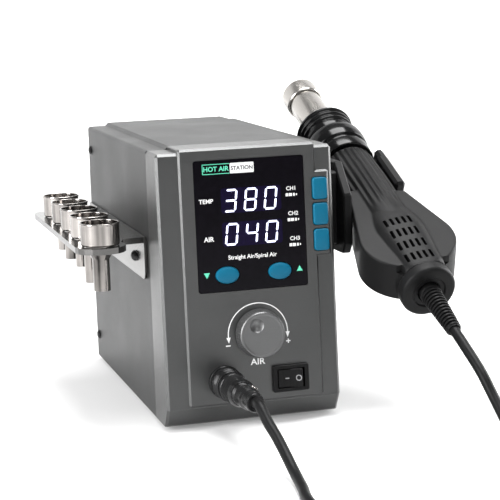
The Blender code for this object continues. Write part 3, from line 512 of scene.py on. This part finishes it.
CAP_RADIUS, CAP_BORE = 15.7, 6.1
RELIEF_RADIUS, RELIEF_TAPER, RELIEF_RIBS, RIB_STEP = 5.85, 1.75, 13, 2.36
RING_RADIUS, GUARD_RADIUS, GUARD_RIBS, GUARD_STEP = 18.7, 17.9, 3, 3.6
HEATER_BORE = 10.7
TUBE_RADIUS, TUBE_BORE, TUBE_START = 10.2, 9.4, 117.0
LIP_RADIUS, LIP_LENGTH = 11.5, 13.0


def tail_cap():
    profile = [(CAP_RADIUS, CAP_SEAT), (CAP_RADIUS, CAP_END + 1.6), (14.4, CAP_END), (9.4, CAP_END),
               (9.0, CAP_END + 0.9), (CAP_BORE, CAP_END + 0.9), (CAP_BORE, CAP_SEAT)]
    piece = turned("handset_tail_cap", profile, SHELL, HANDSET_AXIS, ease=0.9, body="handset")
    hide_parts("tail_cap")


def strain_relief():
    """The ribbed rubber sleeve that narrows towards the cord."""
    profile = [(0, 4.0), (5.9, 4.0), (5.9, CAP_END - 1.5)]
    for rib in range(RELIEF_RIBS):
        high = CAP_END - 2.2 - rib * RIB_STEP
        wide = RELIEF_RADIUS - RELIEF_TAPER * rib / RELIEF_RIBS
        inner = wide - 1.15
        profile += [(inner, high), (inner, high - 0.75), (wide, high - 0.95), (wide, high - 2.15)]
    profile += [(3.7, RELIEF_END + 0.6), (3.7, RELIEF_END), (0, RELIEF_END)]
    piece = turned("handset_strain_relief", profile, RUBBER, HANDSET_AXIS, sides=48, ease=0.3, closed=False,
                   body="handset")
    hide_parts("strain_relief")


def front_ring():
    """The wide polished ring at the grip's upper end, with a groove above the grip."""
    profile = [(17.2, RING_END), (18.4, RING_END - 1.2), (RING_RADIUS, RING_END - 4.0),
               (RING_RADIUS, RING_END - 8.0), (18.1, RING_END - 12.8), (16.5, RING_END - 13.6),
               (16.5, RING_END - 15.4), (17.6, RING_END - 16.2), (17.2, GRIP_END + 0.2),
               (HEATER_BORE, GRIP_END + 0.2), (HEATER_BORE, RING_END)]
    piece = turned("handset_front_ring", profile, GLOSS, HANDSET_AXIS, sides=96, ease=0.8, body="handset")
    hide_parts("front_ring")


def heater_guard():
    """The guard round the heater tube: three ribs above a narrow waist."""
    profile = []
    for rib in range(GUARD_RIBS):
        high, wide = GUARD_END - GUARD_STEP * rib, GUARD_RADIUS - 0.55 * rib
        profile += [(wide - 0.3, high), (wide, high - 0.6), (wide, high - 1.7), (wide - 1.3, high - 2.2),
                    (wide - 1.3, high - 3.1)]
    profile += [(15.4, RING_END + 5.2), (14.6, RING_END + 2.0), (14.4, RING_END + 0.2),
                (HEATER_BORE, RING_END + 0.2), (HEATER_BORE, GUARD_END)]
    piece = turned("handset_heater_guard", profile, GLOSS, HANDSET_AXIS, sides=96, ease=0.4, body="handset")
    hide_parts("heater_guard")


def heater_tube():
    profile = [(TUBE_RADIUS, MOUTH - 2.0), (TUBE_RADIUS, TUBE_START), (TUBE_BORE, TUBE_START),
               (TUBE_BORE, MOUTH - 2.0)]
    piece = turned("handset_heater_tube", profile, TUBE, HANDSET_AXIS, sides=96, ease=0.1, body="handset")
    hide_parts("heater_tube")


def mouth_ring():
    profile = [(10.6, MOUTH), (LIP_RADIUS, MOUTH - 0.9), (LIP_RADIUS, MOUTH - 12.2),
               (11.0, MOUTH - LIP_LENGTH), (10.35, MOUTH - LIP_LENGTH), (10.35, MOUTH - 1.4),
               (9.0, MOUTH - 1.4), (9.0, MOUTH)]
    piece = turned("handset_mouth_ring", profile, TUBE, HANDSET_AXIS, sides=96, ease=0.5, body="handset")
    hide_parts("mouth_ring")


handset_shell()
tail_cap()
strain_relief()
front_ring()
heater_guard()
heater_tube()
mouth_ring()

# ---------------------------------------------------------------- nozzles on the rack

CUP_SEAT, CUP_TOP, CUP_NECK = 102.0, 114.4, 94.2
NOZZLE_ROW = Vector((-78.7, 19.6, 0.0))
NOZZLE_PITCH = 30.6
NOZZLE_BORES = ((4.6, 77.0), (3.6, 76.3), (3.1, 80.4), (4.0, 80.3), (3.0, 81.0))


def spare_nozzle(number, radius, low):
    """A push-on cup with a rolled rim, and a spout of its own radius down to its own height."""
    profile = [(10.75, CUP_TOP), (10.9, CUP_TOP - 0.6), (10.6, CUP_TOP - 1.3), (10.5, CUP_SEAT + 0.6),
               (10.0, CUP_SEAT), (9.2, CUP_SEAT), (radius, CUP_NECK), (radius, low), (radius - 0.5, low),
               (radius - 0.5, CUP_NECK + 0.3), (8.6, CUP_SEAT + 0.5), (10.0, CUP_SEAT + 0.9),
               (10.0, CUP_TOP)]
    place = NOZZLE_ROW + Vector((0, NOZZLE_PITCH * (number - 1), 0))
    piece = turned(f"spare_nozzle_{number}", profile, SHEEN_STREAKED_STEEL, STATION @ Matrix.Translation(place), sides=72,
                   ease=0.3, body=f"nozzle_{number}")
    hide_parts(f"nozzle_{number}")


for nozzle_number, (spout_radius, spout_end) in enumerate(NOZZLE_BORES, start=1):
    spare_nozzle(nozzle_number, spout_radius, spout_end)

# ---------------------------------------------------------------- knob

KNOB_PLACE = (3.5, 49.5)
KNOB_FACE = 8.1
KNURL_COUNT, KNURL_DEPTH = 60, 0.28
KNURL_FOOT, KNURL_TOP, KNURL_INSIDE = 1.0, 7.6, 12.0
DIMPLE_X, DIMPLE_Y = -3.2, 5.3
DIMPLE_REACH, DIMPLE_RADIUS, DIMPLE_CENTRE = 3.93, 5.4, 11.8


def knurled(radius, height, angle):
    """The fine grooves round the knob's side."""
    if radius <= KNURL_INSIDE or not KNURL_FOOT < height < KNURL_TOP:
        return radius
    return radius - KNURL_DEPTH * (0.5 + 0.5 * math.cos(KNURL_COUNT * angle))


def dimple(x, y, height):
    """The finger dimple: how far a point of the face drops onto a sphere."""
    away = math.hypot(x - DIMPLE_X, y - DIMPLE_Y)
    if height < 7.4 or away > DIMPLE_REACH:
        return 0.0
    return DIMPLE_CENTRE - math.sqrt(DIMPLE_RADIUS ** 2 - away ** 2) - height


def knob_dial():
    face = [(0, KNOB_FACE)] + [(0.5 + 0.35 * i, KNOB_FACE) for i in range(29)]
    rim = [(10.8, KNOB_FACE), (11.3, 8.35), (12.1, 8.3), (12.7, 7.5), (13.55, 1.4), (13.55, 0.6)]
    hollow = [(3.0, 0.6), (3.0, 6.2), (0, 6.2)]
    piece = turned("knob_dial", face + rim + hollow, KNOB, on_front(*KNOB_PLACE), sides=240, ease=0.14,
                   closed=False, body="knob", rim=knurled, lift=dimple)
    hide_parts("air_knob")


knob_dial()

# ---------------------------------------------------------------- keys

KEY_ROOT = -3.2
CHANNEL_KEY, CHANNEL_KEY_TOP, CHANNEL_KEY_X = (8.4, 12.0, 1.7), 1.6, 41.6
STEP_KEY, STEP_KEY_Z = (13.2, 9.2), 82.7
STEP_KEY_CROWN = ((0, KEY_ROOT), (0, 0.2), (0.25, 0.62), (0.9, 0.86), (2.2, 1.0), (3.6, 1.05))


def channel_key(number, z):
    key = prism_mesh(rounded(*CHANNEL_KEY), KEY_ROOT, CHANNEL_KEY_TOP, 0.75, 4)
    piece = solid(f"channel_key_{number}", key, BLUE, on_front(CHANNEL_KEY_X, z),
                  body=f"key_channel_{number}")
    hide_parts(f"key_channel_{number}")


def step_key(name, x):
    """An oval key with a low crown."""
    width, height = STEP_KEY
    rings = []
    for inset, level in STEP_KEY_CROWN:
        rings.append([(px, py, level) for px, py in oval(width - 2 * inset, height - 2 * inset)])
    piece = solid(f"step_key_{name}", skin(rings), BLUE, on_front(x, STEP_KEY_Z), body=f"key_{name}")
    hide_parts(f"key_{name}")


for key_number, key_z in enumerate((126.5, 112.4, 98.2), start=1):
    channel_key(key_number, key_z)
for key_name, key_x in (("down", -12.8), ("up", 17.0)):
    step_key(key_name, key_x)


# ---------------------------------------------------------------- flat marks

PRINT_HALF = 0.02


def tile(outline):
    return prism_mesh(outline, -PRINT_HALF, PRINT_HALF)


def plate(x, z, width, height, radius=0.1):
    """A thin rectangle on the front, with round corners."""
    return tile(rounded(width, height, radius, x, up(z), 3))


def lettering(words, x, z, size, wide=1.0):
    """Flat letters centred on a place on the front."""
    text = bpy.data.curves.new("words", "FONT")
    text.body = words
    text.size = size
    text.align_x = "CENTER"
    text.align_y = "CENTER"
    text.extrude = PRINT_HALF
    text.offset = 0.018 * size
    text.resolution_u = 4
    holder = bpy.data.objects.new("words", text)
    bpy.context.scene.collection.objects.link(holder)
    mesh = bpy.data.meshes.new_from_object(holder.evaluated_get(bpy.context.evaluated_depsgraph_get()))
    bpy.data.objects.remove(holder, do_unlink=True)
    bm = bmesh.new()
    bm.from_mesh(mesh)
    bpy.data.meshes.remove(mesh)
    stretched = shift(x, up(z), 0) @ Matrix.Diagonal((wide, 1, 1, 1))
    bmesh.ops.transform(bm, matrix=stretched, verts=bm.verts)
    return bm


# ---------------------------------------------------------------- display

def node_top(name):
    """How far a CAD node stands out of the front plane."""
    inverse = (Matrix.Scale(MM, 4) @ FRONT).inverted()
    return max((inverse @ v.co).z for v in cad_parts[name].data.vertices)


LENS_TOP = node_top("display_lens")
GLOW_PLATE_LEVEL, WHITE_LEVEL, GREEN_LEVEL, DARK_LEVEL = 0.005, 0.04, 0.05, 0.09
DIGIT_WIDTH, DIGIT_PITCH, FIRST_DIGIT_X = 5.9, 11.3, -9.2
BAR, BAR_GAP, DIGIT_SLANT = 1.1, 0.25, 0.12
TEMPERATURE_Z, AIR_Z = 123.0, 104.7
BARS = {"a": ((-1, 1), (1, 1)), "b": ((1, 0), (1, 1)), "c": ((1, -1), (1, 0)), "d": ((-1, -1), (1, -1)),
        "e": ((-1, -1), (-1, 0)), "f": ((-1, 0), (-1, 1)), "g": ((-1, 0), (1, 0))}
LIT_BARS = {"0": "abcdef", "3": "abcdg", "4": "bcfg", "8": "abcdefg"}


def over_lens(level):
    """The front's frame, raised just above the lens so that thin marks don't meet."""
    return FRONT @ shift(0, 0, LENS_TOP + level)


def digit(figure, x, z, height):
    """Lit bars of one figure, leaning to the right."""
    half, tall, t = DIGIT_WIDTH / 2, height / 2, BAR / 2
    bars = []
    for bar in LIT_BARS[figure]:
        start, end = (Vector((px * half, py * tall)) for px, py in BARS[bar])
        along = (end - start).normalized()
        side = Vector((-along.y, along.x)) * t
        start, end = start + along * BAR_GAP, end - along * BAR_GAP
        outline = [start, start + along * t + side, end - along * t + side, end, end - along * t - side,
                   start + along * t - side]
        bars.append(tile([(x + px + DIGIT_SLANT * py, up(z) + py) for px, py in outline[::-1]]))
    return bars


def lit_digits(name, figures, z, height, node):
    bars = [bar for i, figure in enumerate(figures)
            for bar in digit(figure, FIRST_DIGIT_X + DIGIT_PITCH * i, z, height)]
    lit = solid(f"lit_{name}", merged(*bars), LIT, over_lens(WHITE_LEVEL))
    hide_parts(node)


# Two violet plates behind the digit rows: a painted glow of the lit digits, not a part of the display.
def display_windows():
    glow_plates = [plate(2.4, TEMPERATURE_Z, 34.0, 13.6, 1.6), plate(2.4, AIR_Z, 34.0, 13.2, 1.6)]
    piece = solid("display_windows", merged(*glow_plates), DIGIT_GLOW_PAINT, over_lens(GLOW_PLATE_LEVEL))


def lens_print():
    """White words and channel blocks, the title tile with its dark word, and the green marks."""
    white = [lettering("TEMP", -22.9, 123.2, 3.3), lettering("AIR", -22.2, 102.6, 3.6),
             lettering("CH1", 25.3, 127.4, 3.0), lettering("CH2", 25.9, 113.7, 3.0),
             lettering("CH3", 26.4, 99.9, 3.0), lettering("Straight Air/Spiral Air", 1.8, 92.0, 3.15),
             plate(-2.1, 140.5, 13.4, 5.6, 0.5)]
    for x, z in ((25.3, 124.0), (25.9, 110.3), (26.4, 96.5)):
        white += [plate(x - 2.5, z, 1.5, 1.6), plate(x - 0.5, z, 1.9, 1.6), plate(x + 1.5, z, 0.9, 1.6),
                  plate(x + 2.9, z, 0.7, 1.0)]
    piece = solid("lens_lettering", merged(*white), WHITE, over_lens(WHITE_LEVEL))

    dark = solid("lens_dark_lettering", lettering("STATION", -2.1, 140.4, 3.0), LENS, over_lens(DARK_LEVEL))

    green = [lettering("HOT AIR", -16.6, 140.4, 3.6), plate(-16.6, 143.1, 15.2, 0.35),
             plate(-16.6, 137.9, 15.2, 0.35), plate(-24.1, 140.5, 0.35, 5.4)]
    for x, way in ((-24.3, 1), (28.3, -1)):
        middle = up(83.2)
        triangle = [(x - 1.7, middle + 1.4 * way), (x, middle - 1.7 * way), (x + 1.7, middle + 1.4 * way)]
        green.append(tile(triangle[::way]))
    piece = solid("lens_marks", merged(*green), GREEN, over_lens(GREEN_LEVEL))


lit_digits("temperature", "380", TEMPERATURE_Z, 11.4, "led_digits_temperature")
lit_digits("air", "040", AIR_Z, 11.0, "led_digits_air")
display_windows()
lens_print()

# ---------------------------------------------------------------- marks round the knob and on the switch

SCALE_X, SCALE_Z, SCALE_RADIUS, SCALE_HALF = 3.0, 49.2, 16.9, 0.28
SCALE_START, SCALE_END = 183, -1
ROCKER_REST = math.radians(10.0)
SWITCH = on_front(20.3, 23.1, -0.6) @ turn(0, -ROCKER_REST)


def knob_print():
    """The white scale arc with its arrowheads, the signs and the word below the knob."""
    x, z = SCALE_X, SCALE_Z
    outer = arc(x, up(z), SCALE_RADIUS + SCALE_HALF, SCALE_START, SCALE_END, 60)
    inner = arc(x, up(z), SCALE_RADIUS - SCALE_HALF, SCALE_END, SCALE_START, 60)
    marks = [tile((outer + inner)[::-1])]
    for angle, way in ((SCALE_START, 1), (SCALE_END, -1)):
        a = math.radians(angle)
        outward = Vector((math.cos(a), math.sin(a)))
        ahead = Vector((-outward.y, outward.x)) * way
        centre = Vector((x, up(z))) + outward * SCALE_RADIUS
        arrow = [centre + ahead * 3.2, centre + outward * 1.2, centre - outward * 1.2]
        marks.append(tile([tuple(p) for p in arrow]))
    marks += [plate(x - 17.2, z - 5.4, 2.6, 0.6), plate(x + 17.1, z - 5.6, 2.4, 0.6),
              plate(x + 17.1, z - 5.6, 0.6, 2.4), lettering("AIR", x - 0.8, 33.6, 4.8, wide=1.1)]
    piece = solid("front_lettering", merged(*marks), WHITE, FRONT @ shift(0, 0, WHITE_LEVEL))


def switch_print():
    """The bar and the circle on the rocker's two faces."""
    bar = rounded(2.2, 0.6, 0.2, steps=3)
    circle = arc(0, 0, 1.7, 0, 359, 40) + arc(0, 0, 1.2, 359, 0, 40)
    for name, x, shape, lean, height in (("on", -1.8, bar, 0.083, 2.9), ("off", 4.6, circle, -0.273, 3.35)):
        place = SWITCH @ shift(x, 0, height) @ turn(0, lean)
        mark = solid(f"rocker_mark_{name}", tile(shape), GREY_PRINT, place, body="rocker")


knob_print()
switch_print()

# ---------------------------------------------------------------- plug

SOCKET = on_front(-17.1, 24.3)
GROOVE_STEPS = ((0.0, 0.0), (0.5, 0.4), (0.5, 0.8), (0.0, 1.2))
CLAMP_TOP = 60.5


def grooves(radius, top, count, pitch):
    """Shallow grooves round a turned part, from the top down."""
    return [(radius - depth, top - pitch * k - drop) for k in range(count) for depth, drop in GROOVE_STEPS]


def plug_coupling_ring():
    profile = [(8.2, 15.0), (8.7, 14.2)] + grooves(8.7, 13.6, 3, 1.5)
    profile += [(8.7, 9.2), (8.0, 8.8), (8.0, 8.0), (8.7, 7.6), (8.7, 3.9), (8.2, 3.3), (7.9, 3.3),
                (7.9, 12.0), (6.9, 12.0), (6.9, 15.0)]
    piece = turned("plug_coupling_ring", profile, PLUG, SOCKET, sides=72, body="plug_ring")
    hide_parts("coupling_ring")


def plug_body():
    profile = [(0, 36.1), (6.6, 36.1), (7.6, 33.2), (7.8, 20.4), (7.3, 20.0), (7.3, 19.2), (7.8, 18.8),
               (7.8, 15.3), (6.6, 15.3), (6.6, 11.7), (7.5, 11.7), (7.5, 10.3), (5.9, 10.3), (5.9, 0.5),
               (0, 0.5)]
    piece = turned("plug_body", profile, PLUG, SOCKET, sides=72, closed=False)
    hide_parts("plug_shell")
    return piece


def plug_clamp():
    profile = [(0, CLAMP_TOP), (4.7, CLAMP_TOP), (5.1, CLAMP_TOP - 0.9), (5.1, 51.5), (6.0, 49.6),
               (6.2, 42.0)]
    profile += grooves(6.2, 41.6, 3, 1.6) + [(6.2, 36.2), (0, 36.2)]
    piece = turned("plug_clamp", profile, PLUG, SOCKET, sides=60, closed=False)
    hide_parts("cable_clamp")
    return piece


def clamp_screw(number, height):
    head = [(0, 1.0), (1.2, 0.95), (1.45, 0.5), (1.45, -1.0), (0, -1.0)]
    place = SOCKET @ turn(0, 0, math.radians(52)) @ shift(5.6, 0, height) @ turn(0, math.pi / 2)
    piece = turned(f"clamp_screw_{number}", head, SHEEN_STREAKED_STEEL, place, sides=24, closed=False, ease=0.2)
    return piece


plug_coupling_ring()
shell_piece = plug_body()
clamp = plug_clamp()
clamp_screws = [clamp_screw(number, height) for number, height in ((1, 43.6), (2, 47.2))]

# ---------------------------------------------------------------- cord, from the handset to the plug

FLOOR_DROP = Vector((0, 0, -STATION_PLACE[2]))
LYING, SECOND_LAYER = 3.0, 8.8
COIL_CENTRE = Vector((131.0, -160.0, 0))
COIL_OUTER, COIL_INNER = 36.0, 24.4
COIL_STEP = 15
CORD_POINT_SPACING, CORD_SIDES = 1.6, 18


def curve_through(points, spacing):
    """Evenly spaced points on a Catmull-Rom curve."""
    ends = [points[0] * 2 - points[1], *points, points[-1] * 2 - points[-2]]
    fine = []
    for a, b, c, d in zip(ends, ends[1:], ends[2:], ends[3:]):
        for step in range(24):
            t = step / 24
            fine.append(0.5 * (2 * b + (c - a) * t + (2 * a - 5 * b + 4 * c - d) * t ** 2
                               + (3 * b - a - 3 * c + d) * t ** 3))
    fine.append(points[-1])
    lengths = [(b - a).length for a, b in zip(fine, fine[1:])]
    count = max(2, round(sum(lengths) / spacing))
    route, travelled, wanted = [], 0.0, 0.0
    for start, end, length in zip(fine, fine[1:], lengths):
        while wanted <= travelled + length and len(route) < count and length > 0:
            route.append(start.lerp(end, (wanted - travelled) / length))
            wanted = len(route) * sum(lengths) / count
        travelled += length
    return route + [fine[-1]]


def around(degrees, radius, z):
    """A point on the coil, at a height above the table."""
    a = math.radians(degrees)
    return COIL_CENTRE + Vector((radius * math.cos(a), radius * math.sin(a), z)) + FLOOR_DROP


def coil_points():
    """Two turns inwards on top, half a turn down to the table and nearly one and a half turns outwards."""
    narrowing = COIL_OUTER - COIL_INNER
    inwards = [around(180 + COIL_STEP * k, COIL_OUTER - narrowing * k / 48, SECOND_LAYER)
               for k in range(49)]
    down = []
    for k in range(1, 12):
        radius = COIL_INNER - 1.2 * math.sin(math.pi * k / 12)
        height = SECOND_LAYER - (SECOND_LAYER - LYING) * smooth_step(k, 0, 12)
        down.append(around(180 + COIL_STEP * k, radius, height))
    outwards = [around(COIL_STEP * k, COIL_INNER + narrowing * k / 34, LYING) for k in range(35)]
    return inwards + down + outwards


def cord_route():
    """The cord's centreline: down from the handset, round the coil, and along the table to the plug."""
    below = (HAND.to_3x3() @ Vector((0, -1, 0))).normalized()
    relief_end = TAIL - below * RELIEF_END
    points = [relief_end - below * 1.0, relief_end + below * 6.0, relief_end + below * 13.0]
    points += [Vector(p) + FLOOR_DROP for p in (
        (92.9, -93.0, 42.2), (94.9, -103.0, 32.0), (96.0, -113.0, 23.4), (96.2, -122.0, 16.8),
        (95.6, -130.5, 12.2), (95.0, -138.3, 9.5), (95.0, -149.0, SECOND_LAYER))]
    points += coil_points()
    points += [Vector(p) + FLOOR_DROP for p in (
        (94.0, -152.0, LYING), (88.8, -161.0, LYING), (84.0, -170.5, LYING), (75.0, -186.0, LYING),
        (58.0, -199.0, LYING), (36.0, -204.0, LYING), (14.0, -199.0, LYING), (-3.0, -186.0, LYING),
        (-13.6, -171.0, LYING), (-17.4, -154.0, LYING), (-16.8, -140.0, LYING), (-14.0, -126.0, LYING),
        (-12.0, -112.0, 3.5), (-11.8, -102.0, 6.6), (-12.6, -92.0, 12.2), (-14.0, -84.0, 17.8),
        (-15.6, -76.5, 22.6))]
    to_station = STATION.inverted()
    points += [to_station @ SOCKET @ Vector((0, 0, w)) for w in (PLUG_END + 9.0, PLUG_END - 1.5)]
    return [STATION @ p for p in curve_through(points, CORD_POINT_SPACING)]


def cord_rings(route):
    """Rings of points round the centreline, without twist."""
    rings = []
    across = None
    for i, here in enumerate(route):
        along = (route[min(i + 1, len(route) - 1)] - route[max(i - 1, 0)]).normalized()
        if across is None:
            across = along.orthogonal().normalized()
        across = (across - along * across.dot(along)).normalized()
        other = along.cross(across)
        angles = [2 * math.pi * k / CORD_SIDES for k in range(CORD_SIDES)]
        rings.append([here + (across * math.cos(a) + other * math.sin(a)) * CORD / 2 for a in angles])
    return rings


def cord():
    route = cord_route()
    piece = solid("handset_cord_visual", skin(cord_rings(route)), RUBBER, body=None)
    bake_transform(piece)
    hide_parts("handset_cord", "cord_coil", "plug_cord")


cord()

# ---------------------------------------------------------------- studio, in metres

SHEET_HALF_WIDTH = 4.0
FLOOR_FRONT, FLOOR_BACK, BEND_START = -3.0, 1.2, 1.6
BEND_RADIUS, SHEET_TOP = 0.9, 3.2
WORLD_LIGHT = 0.26


def sheet_of(name, profile, material):
    """A wide surface following a side profile."""
    bm = bmesh.new()
    rows = [[bm.verts.new((x, y, z)) for x in (-SHEET_HALF_WIDTH, SHEET_HALF_WIDTH)] for y, z in profile]
    for a, b in zip(rows, rows[1:]):
        bm.faces.new((a[0], a[1], b[1], b[0]))
    mesh = bpy.data.meshes.new(name)
    bm.to_mesh(mesh)
    bm.free()
    mesh.shade_smooth()
    mesh.materials.append(material)
    surface = bpy.data.objects.new(name, mesh)
    bpy.context.scene.collection.objects.link(surface)


def backdrop_profile():
    """Flat behind the floor, then a round bend up to a wall."""
    bend = arc(BEND_START, BEND_RADIUS, BEND_RADIUS, -84, 0, 14)
    return [(FLOOR_BACK, 0.0), (BEND_START, 0.0)] + bend + [(BEND_START + BEND_RADIUS, SHEET_TOP)]


def lamp(name, place, target, size, power):
    data = bpy.data.lights.new(name, "AREA")
    data.shape = "RECTANGLE"
    data.size, data.size_y = size
    data.energy = power
    light = bpy.data.objects.new(name, data)
    bpy.context.scene.collection.objects.link(light)
    light.location = place
    light.rotation_euler = (Vector(target) - Vector(place)).to_track_quat("-Z", "Y").to_euler()


def surroundings():
    world = bpy.data.worlds.new("studio")
    world.use_nodes = True
    background = world.node_tree.nodes["Background"]
    background.inputs["Color"].default_value = (1.0, 1.0, 1.0, 1.0)
    background.inputs["Strength"].default_value = WORLD_LIGHT
    bpy.context.scene.world = world


sheet_of("studio_floor", [(FLOOR_FRONT, 0.0), (FLOOR_BACK, 0.0)], FLOOR)
sheet_of("studio_backdrop", backdrop_profile(), BACKDROP)
lamp("left_light", (-1.25, -0.40, 0.55), (0, 0, 0.08), (0.5, 1.0), 31)
lamp("right_light", (1.25, 0.25, 0.5), (0.05, 0, 0.1), (0.4, 0.9), 22)
lamp("top_light", (0.15, 0.0, 1.3), (0, 0, 0.05), (0.9, 0.8), 34)
lamp("front_light", (0.35, -1.5, 0.9), (0, 0, 0.08), (0.6, 0.5), 5)
surroundings()

# ---------------------------------------------------------------- camera, in metres

AZIMUTH, ELEVATION, ROLL = math.radians(-16.0137), math.radians(9.0615), math.radians(-1.8449)
LOOKS_AT = Vector((0.00314, -0.02078, 0.09734))
DISTANCE = 0.942675
LENS_LENGTH, SENSOR_WIDTH = 119.17, 36.0
SHIFT_X, SHIFT_Y = -0.0076, -0.0253


def camera():
    back = Vector((math.sin(AZIMUTH) * math.cos(ELEVATION), -math.cos(AZIMUTH) * math.cos(ELEVATION),
                   math.sin(ELEVATION)))
    level = (-back).cross(Vector((0, 0, 1))).normalized()
    above = level.cross(-back)
    right = level * math.cos(ROLL) + above * math.sin(ROLL)
    above = above * math.cos(ROLL) - level * math.sin(ROLL)
    pose = Matrix((right, above, back)).transposed().to_4x4()
    pose.translation = LOOKS_AT + back * DISTANCE
    data = bpy.data.cameras.new("photo_camera")
    data.sensor_width = SENSOR_WIDTH
    data.lens = LENS_LENGTH
    data.shift_x, data.shift_y = SHIFT_X, SHIFT_Y
    data.clip_start = 0.01
    holder = bpy.data.objects.new("photo_camera", data)
    bpy.context.scene.collection.objects.link(holder)
    holder.matrix_world = pose
    bpy.context.scene.camera = holder


camera()
bpy.context.scene.view_settings.view_transform = "Standard"
